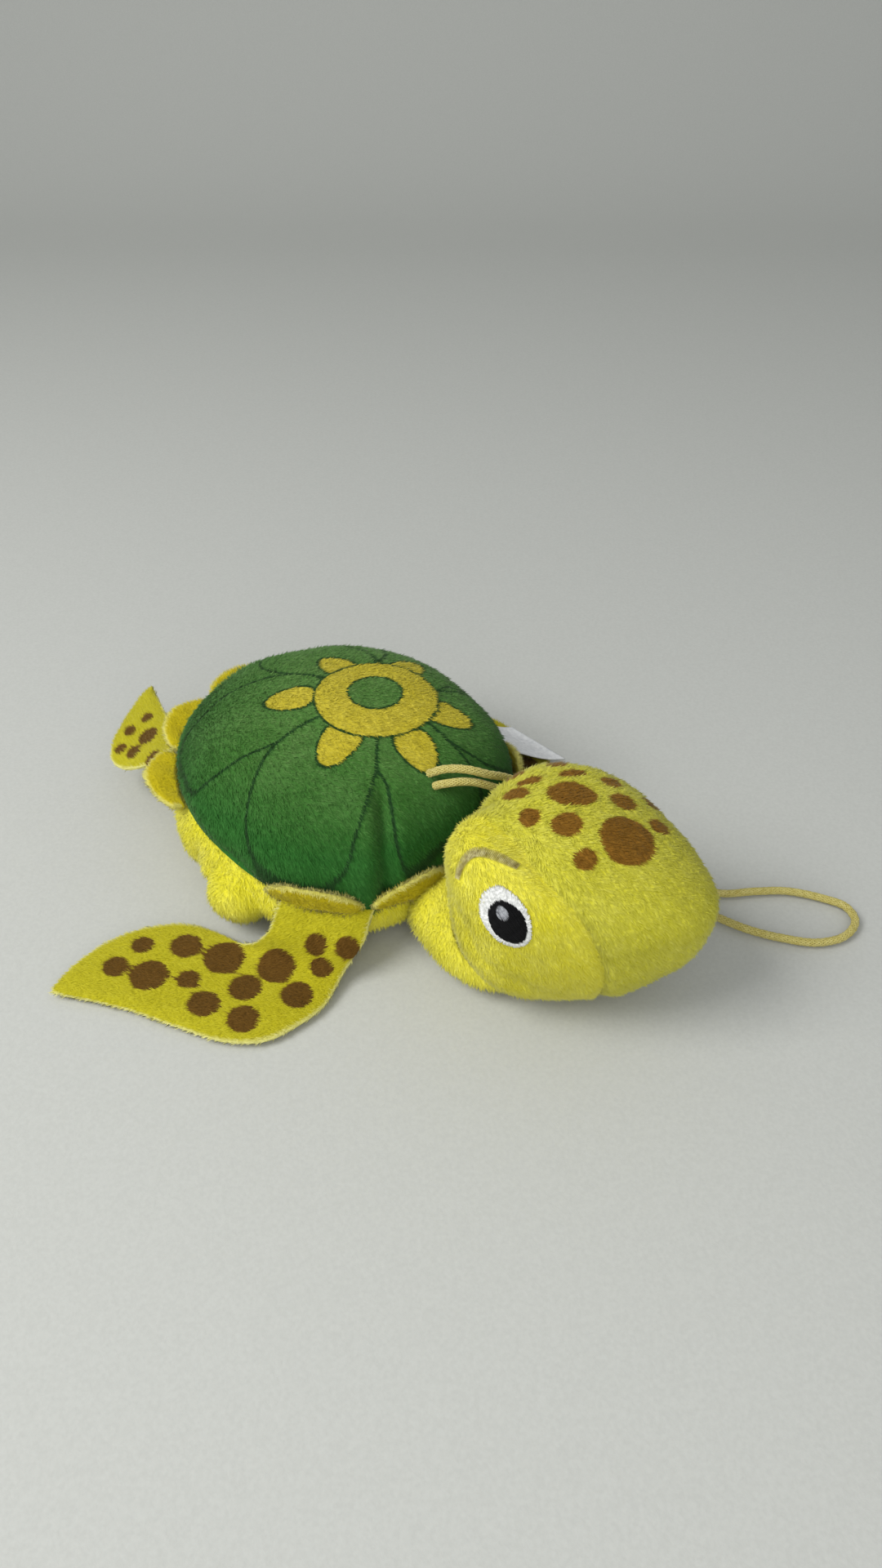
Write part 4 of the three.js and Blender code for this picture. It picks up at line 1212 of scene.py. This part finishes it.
def lay_thread(shape, starts, stops, width, side, heights, parts=1):
    """Threads between side-view places, each part of one a stitch over the cheek."""
    for (f0, u0), (f1, u1), height in zip(starts, stops, heights):
        for part in range(parts):
            a, b = part / parts, (part + 1) / parts
            ends = [cheek_surface(f0 + (f1 - f0) * s, u0 + (u1 - u0) * s, side, height)
                    for s in (max(a - 0.04, 0), min(b + 0.04, 1))]
            stitch(shape, ends[0], ends[1], width)


def fill_oval(shape, middle, size, rows, reach, width, side, heights, parts=1):
    """Threads side by side across an oval, each as long as its two reaches say."""
    half = np.sqrt(1 - rows ** 2)
    ends = [list(zip(*oval_points(middle, size, way * half * far, rows)))
            for way, far in zip((1, -1), reach)]
    lay_thread(shape, *ends, width, side, heights, parts)


def pad(shape, middle, size, side, height):
    """A low oval pad under the threads."""
    disc = bmesh.ops.create_uvsphere(shape, u_segments=40, v_segments=10, radius=1)["verts"]
    unit = np.array([v.co for v in disc])
    f, u = oval_points(middle, size, unit[:, 1], unit[:, 0])
    to = cheek_surface(f, u, side, height * (0.45 + 0.55 * unit[:, 2]))
    for vert, place in zip(disc, to):
        vert.co = place


WHITE_THREADS, PUPIL_THREADS, GLINT_THREADS = 150, 27, 9
WHITE_WIDTH, PUPIL_WIDTH, GLINT_WIDTH, BROW_WIDTH = 0.34, 0.36, 0.3, 0.26

for word, side in (("right", -1), ("left", 1)):
    dice = np.random.default_rng(60 + side)
    white = bmesh.new()
    pad(white, EYE_AT, (EYE_SIZE[0] * 0.97, EYE_SIZE[1] * 0.97), side, 0.55)
    turns = np.linspace(0, 2 * math.pi, WHITE_THREADS, endpoint=False)
    for layer in range(2):
        t = turns + layer * 0.02
        outer_at = oval_points(EYE_AT, EYE_SIZE, np.cos(t) * dice.uniform(0.98, 1.05, len(t)),
                               np.sin(t) * dice.uniform(0.98, 1.05, len(t)))
        inner_at = oval_points(PUPIL_AT, PUPIL_SIZE, 0.86 * np.cos(t), 0.86 * np.sin(t))
        lay_thread(white, list(zip(*outer_at)), list(zip(*inner_at)), WHITE_WIDTH, side,
                   0.42 + 0.12 * layer + dice.uniform(0, 0.1, len(t)))
    finish_piece(f"eye_white_{word}_stitch", white, "head", "white_thread", [f"eye_white_{word}"])
    pupil = bmesh.new()
    pad(pupil, PUPIL_AT, (PUPIL_SIZE[0] * 0.96, PUPIL_SIZE[1] * 0.96), side, 0.85)
    fill_oval(pupil, PUPIL_AT, PUPIL_SIZE, np.linspace(-0.97, 0.97, PUPIL_THREADS),
              dice.uniform(0.97, 1.05, (2, PUPIL_THREADS)), PUPIL_WIDTH, side,
              0.78 + dice.uniform(0, 0.08, PUPIL_THREADS), parts=4)
    finish_piece(f"eye_pupil_{word}_stitch", pupil, "head", "black_thread", [f"eye_pupil_{word}"])
    glint = bmesh.new()
    fill_oval(glint, GLINT_AT, GLINT_SIZE, np.linspace(-0.9, 0.9, GLINT_THREADS), (1, 1),
              GLINT_WIDTH, side, np.ones(GLINT_THREADS))
    finish_piece(f"eye_glint_{word}_stitch", glint, "head", "grey_thread", [f"eye_glint_{word}"])
    brow = bmesh.new()
    way = np.gradient(BROW_SEEN, axis=0)
    way /= np.linalg.norm(way, axis=1, keepdims=True)
    across = np.stack([-way[:, 1], way[:, 0]], 1)
    taper = (0.4 + 0.6 * np.sin(math.pi * np.linspace(0.05, 0.85, len(BROW_SEEN))))[:, None]
    ends = [seen_on_cheek(BROW_SEEN + (6.5 * across - 1.5 * way) * taper * k, 0.45)
            for k in (-1, 1)]
    if side > 0:
        ends = [left_of(end) for end in ends]
    for start, stop in zip(head_world(ends[0]), head_world(ends[1])):
        stitch(brow, start + (0, 0, dice.uniform(0, 0.12)), stop, BROW_WIDTH)
    finish_piece(f"brow_{word}_stitch", brow, "head", "tan_thread", [f"brow_{word}"])

# %% [markdown]
# The pile is grown last, when every surface is in its place. The dome and the crown get the most
# tufts, because their nap shows best.

# %% Grow the pile
piles = []
for seed, (base, body, slot_name, tufts, shape_of_pile) in enumerate([
        (shell_piece, "body", "green_plush", 60000,
         {"length": 1.35, "width": 0.12, "lean": 0.7, "clump": 1.1}),
        (belly_piece, "body", "yellow_plush", 36000, {"length": 1.3, "width": 0.12, "lean": 0.55}),
        (neck_piece, "body", "yellow_plush", 14000, {"length": 1.3, "width": 0.12, "lean": 0.55}),
        (crown_piece, "head", "spotted_plush", 52000,
         {"length": 1.3, "width": 0.13, "lean": 0.7, "clump": 1.1}),
        (cheeks_piece, "head", "yellow_plush", 42000,
         {"length": 1.2, "width": 0.11, "lean": 0.6, "clump": 1.2})], 2):
    piles.append(grow_pile(base, body, slot_name, tufts, seed=seed, **shape_of_pile))
for index, lobe_piece in enumerate(lobe_pieces):
    piles.append(grow_pile(lobe_piece, "body", "mustard_plush", 3000, length=1.2, width=0.1,
                           lean=0.6, stray=0.3, seed=20 + index))
for index, flipper_piece in enumerate(flipper_pieces):
    front = flipper_piece.name.startswith("front")
    upper = "top" in flipper_piece.name
    count = (26000 if front else 9000) if upper else (5000 if front else 2500)
    piles.append(grow_pile(flipper_piece, flipper_piece.name.rsplit("_", 2)[0], "spotted_plush",
                           count, length=1.1, width=0.11, lean=0.66, seed=40 + index))
print("tuft faces in all", sum(len(p.data.polygons) for p in piles))

# %% [markdown]
# Materials are node trees. A helper adds a node with its sockets set, and colours are written as
# in a paint program and turned into linear light.

# %% Material helpers
def linear(text):
    parts = [int(text[k:k + 2], 16) / 255 for k in (1, 3, 5)]
    return tuple(p / 12.92 if p < 0.04045 else ((p + 0.055) / 1.055) ** 2.4 for p in parts) + (1.0,)


def fill_sockets(tree, made, sockets):
    """Links a node's sockets to others, or sets them to constants."""
    for key, value in sockets.items():
        if isinstance(value, bpy.types.NodeSocket):
            tree.links.new(value, made.inputs[key])
        else:
            made.inputs[key].default_value = value


def add(tree, kind, sockets=None, **settings):
    made = tree.nodes.new(kind)
    for key, value in settings.items():
        setattr(made, key, value)
    fill_sockets(tree, made, sockets or {})
    return made


def mix(tree, factor, a, b, blend="MIX"):
    return add(tree, "ShaderNodeMix", {0: factor, 6: a, 7: b}, data_type="RGBA",
               blend_type=blend).outputs[2]


def maths(tree, operation, a, b=0.5, c=0.5):
    return add(tree, "ShaderNodeMath", {0: a, 1: b, 2: c}, operation=operation).outputs[0]


def mark(tree, name):
    return add(tree, "ShaderNodeAttribute", attribute_name=name).outputs["Fac"]


def remap(tree, value, low, high, to_low=0.0, to_high=1.0):
    return add(tree, "ShaderNodeMapRange", {"Value": value, "From Min": low, "From Max": high,
                                            "To Min": to_low, "To Max": to_high}).outputs[0]


def new_group(name, ins, outs):
    tree = bpy.data.node_groups.new(name, "ShaderNodeTree")
    for word, kind, value in ins:
        made = tree.interface.new_socket(word, in_out="INPUT", socket_type=kind)
        made.default_value = value
    for word, kind in outs:
        tree.interface.new_socket(word, in_out="OUTPUT", socket_type=kind)
    given = tree.nodes.new("NodeGroupInput").outputs
    result = tree.nodes.new("NodeGroupOutput").inputs
    return tree, given, result


def use_group(tree, group, sockets):
    return add(tree, "ShaderNodeGroup", sockets, node_tree=group).outputs


COLOR, FLOAT = "NodeSocketColor", "NodeSocketFloat"

# %% [markdown]
# Plush is never one colour: each tuft is a little lighter or darker at random. The tips are
# painted lighter, as painted sheen, and the roots darker, as painted shade between the tufts, and
# brushed patches, where the pile lies another way, get the same painted sheen. One group does all
# three for every plush.

# %% Plush colour and printed edge groups
PLUSH, given, result = new_group("plush_tone", [
    ("Color", COLOR, (1, 1, 1, 1)), ("Tip Sheen Color", COLOR, (1, 1, 1, 1)),
    ("Root Shade Color", COLOR, (0, 0, 0, 1)), ("Tip Share", FLOAT, 0.3), ("Patch", FLOAT, 0.3)],
    [("Color", COLOR), ("Height", FLOAT)])
place = add(PLUSH, "ShaderNodeTexCoord").outputs["Object"]
patches = add(PLUSH, "ShaderNodeTexNoise", {"Vector": place, "Scale": 95.0, "Detail": 3.0})
grain = add(PLUSH, "ShaderNodeTexNoise", {"Vector": place, "Scale": 1700.0, "Detail": 2.0})
tone = mark(PLUSH, "tone")
tip = mark(PLUSH, "tip")
uneven = maths(PLUSH, "MULTIPLY", remap(PLUSH, patches.outputs["Fac"], 0.35, 0.7), given["Patch"])
# Painted sheen: the tips, the pale tufts and the brushed patches are mixed towards the tip colour.
light = maths(PLUSH, "MULTIPLY", maths(PLUSH, "POWER", tone, 3.0), given["Tip Share"])
light = maths(PLUSH, "ADD", light, maths(PLUSH, "MULTIPLY", tip, maths(
    PLUSH, "MULTIPLY", given["Tip Share"], 0.8)))
# Painted shade: below the tips the cloth is mixed towards the darker root colour.
root_shade_share = maths(PLUSH, "MULTIPLY", maths(PLUSH, "SUBTRACT", 1.0, tip), remap(
    PLUSH, tone, 0.0, 0.55, 0.5, 0.12))
based = mix(PLUSH, root_shade_share, given["Color"], given["Root Shade Color"])
lit = mix(PLUSH, add(PLUSH, "ShaderNodeMath", {0: light, 1: uneven}, operation="ADD",
                     use_clamp=True).outputs[0], based, given["Tip Sheen Color"])
PLUSH.links.new(lit, result["Color"])
PLUSH.links.new(grain.outputs["Fac"], result["Height"])

PRINTED, given, result = new_group("printed_edge", [
    ("Distance", FLOAT, 0.0), ("Width", FLOAT, 0.4), ("Ragged", FLOAT, 0.3)], [("Mask", FLOAT)])
place = add(PRINTED, "ShaderNodeTexCoord").outputs["Object"]
ragged = add(PRINTED, "ShaderNodeTexNoise", {"Vector": place, "Scale": 900.0, "Detail": 2.0})
shifted = maths(PRINTED, "ADD", given["Distance"], maths(
    PRINTED, "MULTIPLY", maths(PRINTED, "SUBTRACT", ragged.outputs["Fac"], 0.5), given["Ragged"]))
cut = add(PRINTED, "ShaderNodeMapRange", {
    "Value": shifted, "From Min": maths(PRINTED, "MULTIPLY", given["Width"], -0.5),
    "From Max": maths(PRINTED, "MULTIPLY", given["Width"], 0.5)}).outputs[0]
PRINTED.links.new(cut, result["Mask"])


def rgb(tree, colour):
    made = add(tree, "ShaderNodeRGB")
    made.outputs[0].default_value = linear(colour)
    return made.outputs[0]


def new_material(name, build, constants, bump_strength, bump_distance):
    """A material whose colour and height build gives, and whose other sockets are constant."""
    material = bpy.data.materials.new(name)
    material.use_nodes = True
    tree = material.node_tree
    colour, height = build(tree)
    bump = add(tree, "ShaderNodeBump", {"Height": height, "Strength": bump_strength,
                                        "Distance": bump_distance})
    fill_sockets(tree, tree.nodes["Principled BSDF"],
                 {"Base Color": colour, "Normal": bump.outputs[0]} | constants)
    return material


def plush_material(name, print_of, base, tip, root, tip_share=0.3, patch=0.25, sheen=0.25,
                   veil=(1, 1, 0.6, 1)):
    """A plush finish. print_of builds the print three times: in the base colours, in the tip
    colours with their painted sheen, and in the root colours with their painted shade.
    """
    def build(tree):
        toned = use_group(tree, PLUSH, {
            "Color": print_of(tree, *base), "Tip Sheen Color": print_of(tree, *tip),
            "Root Shade Color": print_of(tree, *root), "Tip Share": tip_share, "Patch": patch})
        return toned["Color"], toned["Height"]
    return new_material(name, build, {
        "Roughness": 0.86, "Specular IOR Level": 0.25, "Sheen Weight": sheen,
        "Sheen Roughness": 0.45, "Sheen Tint": veil}, 0.35, 0.0004)


# %% [markdown]
# The dome's print is a green ground, a mustard ring and petals, and fine dark outlines. The green
# is painted darker low down, as painted shade, and lighter above, as painted sheen where the nap
# catches the light. An outline is where a printed shape's signed distance is near zero, so its
# width stays even all the way round.

# %% Shell material
def shell_print_colours(tree, green, low_green_with_shade, yellow, line):
    height = add(tree, "ShaderNodeSeparateXYZ", {
        0: add(tree, "ShaderNodeTexCoord").outputs["Object"]})
    # Painted shade: the green darkens from 42 mm down to 24 mm high, and the green above keeps its
    # painted sheen.
    low = remap(tree, height.outputs["Z"], 0.042, 0.024)
    ground = mix(tree, low, rgb(tree, green), rgb(tree, low_green_with_shade))
    ring, petals = mark(tree, "ring"), mark(tree, "petal")
    yellow_at = maths(tree, "MAXIMUM", ring, petals)
    printed = use_group(tree, PRINTED, {"Distance": yellow_at, "Width": 0.3,
                                        "Ragged": 0.3})["Mask"]
    coloured = mix(tree, printed, ground, rgb(tree, yellow))
    outlines = []
    for word in ("ring", "petal", "scute_a", "scute_b"):
        thin = 0.36 if word.startswith("scute") else 0.3
        near = maths(tree, "SUBTRACT", thin, maths(tree, "ABSOLUTE", mark(tree, word)))
        if word == "petal":
            near = maths(tree, "MINIMUM", near, maths(tree, "SUBTRACT", 0.0, ring))
        if word.startswith("scute"):
            near = maths(tree, "MINIMUM", near, maths(tree, "SUBTRACT", -0.1, yellow_at))
        outlines.append(near)
    nearest = outlines[0]
    for other in outlines[1:]:
        nearest = maths(tree, "MAXIMUM", nearest, other)
    lined = use_group(tree, PRINTED, {"Distance": nearest, "Width": 0.25, "Ragged": 0.2})["Mask"]
    return mix(tree, lined, coloured, rgb(tree, line))


# The second colour of each set is the dome's low green, darkened as painted shade.
green_plush = plush_material(
    "green_plush", shell_print_colours,
    ("#4b7d2c", "#1c5a14", "#c2b222", "#12380f"), ("#8ba664", "#437f39", "#d8ca54", "#2c5a26"),
    ("#20501a", "#0e3d10", "#8c7c10", "#0a260a"),
    tip_share=0.4, patch=0.2, sheen=0.2, veil=(0.8, 1, 0.6, 1))

# %% [markdown]
# The yellow cloth is plain. The spotted cloth has a print on the head and a deeper one on the flat
# flippers, and the mustard lobes have a pale fringe at their fold. A mark of the cloth says which
# of two colours holds, so that one material serves every piece of a cloth.

# %% Yellow, spotted and mustard plush
yellow_plush = plush_material("yellow_plush", rgb, ("#ddd520",), ("#f0ea70",), ("#b2a306",),
                              tip_share=0.4, patch=0.3)


def spotted(tree, ground, flat_ground, spot, flat_spot, fringe):
    """The head's print and the flippers' deeper one, which the attribute flat tells apart."""
    flat = mark(tree, "flat")
    mask = use_group(tree, PRINTED, {"Distance": mark(tree, "spots"), "Width": 0.35,
                                     "Ragged": 0.15})["Mask"]
    base = mix(tree, flat, rgb(tree, ground), rgb(tree, flat_ground))
    edged = mix(tree, remap(tree, mark(tree, "rim"), 0.4, 0.9), base, rgb(tree, fringe))
    return mix(tree, mask, edged, mix(tree, flat, rgb(tree, spot), rgb(tree, flat_spot)))


spotted_plush = plush_material(
    "spotted_plush", spotted, ("#ccc728", "#b9b00c", "#80560a", "#5c3e04", "#d8d478"),
    ("#e6e26e", "#d2cb3a", "#a07428", "#7c581c", "#eeeab0"),
    ("#8f8a0c", "#7e7804", "#472a02", "#332002", "#a8a23c"), tip_share=0.4, patch=0.12)


def rimmed(tree, inner, fringe):
    return mix(tree, remap(tree, mark(tree, "rim"), 0.25, 0.7), rgb(tree, inner),
               rgb(tree, fringe))


mustard_plush = plush_material("mustard_plush", rimmed, ("#ccba06", "#d8d05a"),
                               ("#dccc26", "#f0eaa0"), ("#958602", "#a89c24"),
                               tip_share=0.3, patch=0.2)

# %% [markdown]
# Thread, braid, ribbon and fibre need no print. Each is two colours mixed by fine noise, which also
# feeds a bump, so that one helper makes them all. For the white and the tan thread the two colours
# are far apart, as painted shade and painted highlights on the stitches.

# %% Fibrefill, thread, braid and satin
def simple_material(name, colour, roughness, scale, depth, lighter, sheen=0.0, specular=0.4):
    """A finish with fine unevenness in colour and surface."""
    def build(tree):
        place = add(tree, "ShaderNodeTexCoord").outputs["Object"]
        fine = add(tree, "ShaderNodeTexNoise", {"Vector": place, "Scale": scale, "Detail": 3.0})
        share = remap(tree, fine.outputs["Fac"], 0.3, 0.7)
        return mix(tree, share, rgb(tree, colour), rgb(tree, lighter)), fine.outputs["Fac"]
    return new_material(name, build, {"Roughness": roughness, "Specular IOR Level": specular,
                                      "Sheen Weight": sheen}, 0.4, depth)


finishes = {"green_plush": green_plush, "yellow_plush": yellow_plush,
            "spotted_plush": spotted_plush, "mustard_plush": mustard_plush}
for name, *finish in (
        ("polyester_fill", "#e8e8e2", 0.9, 400, 0.0005, "#f6f6f2", 0.3),
        # The white thread is painted greyer than white, as painted shade, mixed with near white as
        # painted sparkle.
        ("white_thread", "#b4b5b0", 0.32, 1800, 0.0001, "#f0f0ec", 0.1, 0.5),
        ("black_thread", "#020203", 0.5, 1800, 0.0001, "#08080a", 0, 0.15),
        ("grey_thread", "#6c6e72", 0.35, 1800, 0.0001, "#b4b6ba", 0.1),
        # The brow's dark brown is painted shade between its stitches, and its cream is painted
        # highlight on them.
        ("tan_thread", "#6e5c1c", 0.42, 1100, 0.0001, "#cdc48a", 0.1),
        ("braided_cord", "#b3a551", 0.55, 1400, 0.00012, "#cdc278", 0.1),
        ("satin_ribbon", "#cfd0d0", 0.35, 900, 0.00005, "#e9e9e8", 0.1)):
    finishes[name] = simple_material(name, *finish)
pieces_made["hanging_loop"] = hanging_loop
for piece in pieces_made.values():
    piece.data.materials.clear()
    piece.data.materials.append(finishes[piece["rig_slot"]])
print("finishes", sorted(finishes))
for name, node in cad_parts.items():
    if not node.hide_render:
        print("still shown from the CAD:", name)

# %% [markdown]
# A plain pale floor runs up into a backdrop in one sweep, and soft lamps light the toy from above,
# as daylight from a window does.

# %% Floor, lamps and world
FLOOR_HALF_WIDTH, FLOOR_HALF_LENGTH, FLOOR_FLAT, SWEEP_RADIUS = 1.6, 1.4, 0.55, 0.25
SWEEP_LENGTH, FLOOR_DROP = 0.3927, 0.0003
floor = bmesh.new()
bmesh.ops.create_grid(floor, x_segments=1, y_segments=60, size=1)
for vert in floor.verts:
    along = vert.co.y * FLOOR_HALF_LENGTH
    bend = max(along - FLOOR_FLAT, 0)
    turn = min(bend / SWEEP_RADIUS, math.pi / 2)
    vert.co = (vert.co.x * FLOOR_HALF_WIDTH, min(along, FLOOR_FLAT) + SWEEP_RADIUS * math.sin(turn),
               SWEEP_RADIUS * (1 - math.cos(turn)) + max(bend - SWEEP_LENGTH, 0) - FLOOR_DROP)
floor_mesh = bpy.data.meshes.new("floor")
bmesh.ops.rotate(floor, cent=(0, 0, 0), matrix=Matrix.Rotation(CAMERA_HEADING, 3, "Z"),
                 verts=floor.verts)
for face in floor.faces:
    face.smooth = True
floor.to_mesh(floor_mesh)
floor.free()
floor_piece = show("floor", floor_mesh)
floor_mesh.materials.append(simple_material("floor_paint", "#babbb5", 0.8, 1300, 0.0001, "#c0c1bb"))

world = bpy.data.worlds.new("world")
bpy.context.scene.world = world
world.use_nodes = True
fill_sockets(world.node_tree, world.node_tree.nodes["Background"],
             {"Color": (0.92, 0.96, 1.0, 1), "Strength": 0.37})
LAMPS = [("key", (-0.5, 0.14, 0.6), 0.45, 4.8), ("fill", (-0.4, -0.55, 0.45), 0.7, 2.6),
         ("side", (0.6, -0.1, 0.55), 0.6, 0.15)]
for name, spot, size, watts in LAMPS:
    lamp_data = bpy.data.lights.new(name, "AREA")
    lamp_data.size = size
    lamp_data.energy = watts
    lamp = show(name, lamp_data)
    lamp.location = spot
    aim = Vector((0, -0.03, 0.02)) - Vector(spot)
    lamp.rotation_euler = aim.to_track_quat("-Z", "Y").to_euler()
bpy.context.scene.view_settings.view_transform = "Standard"
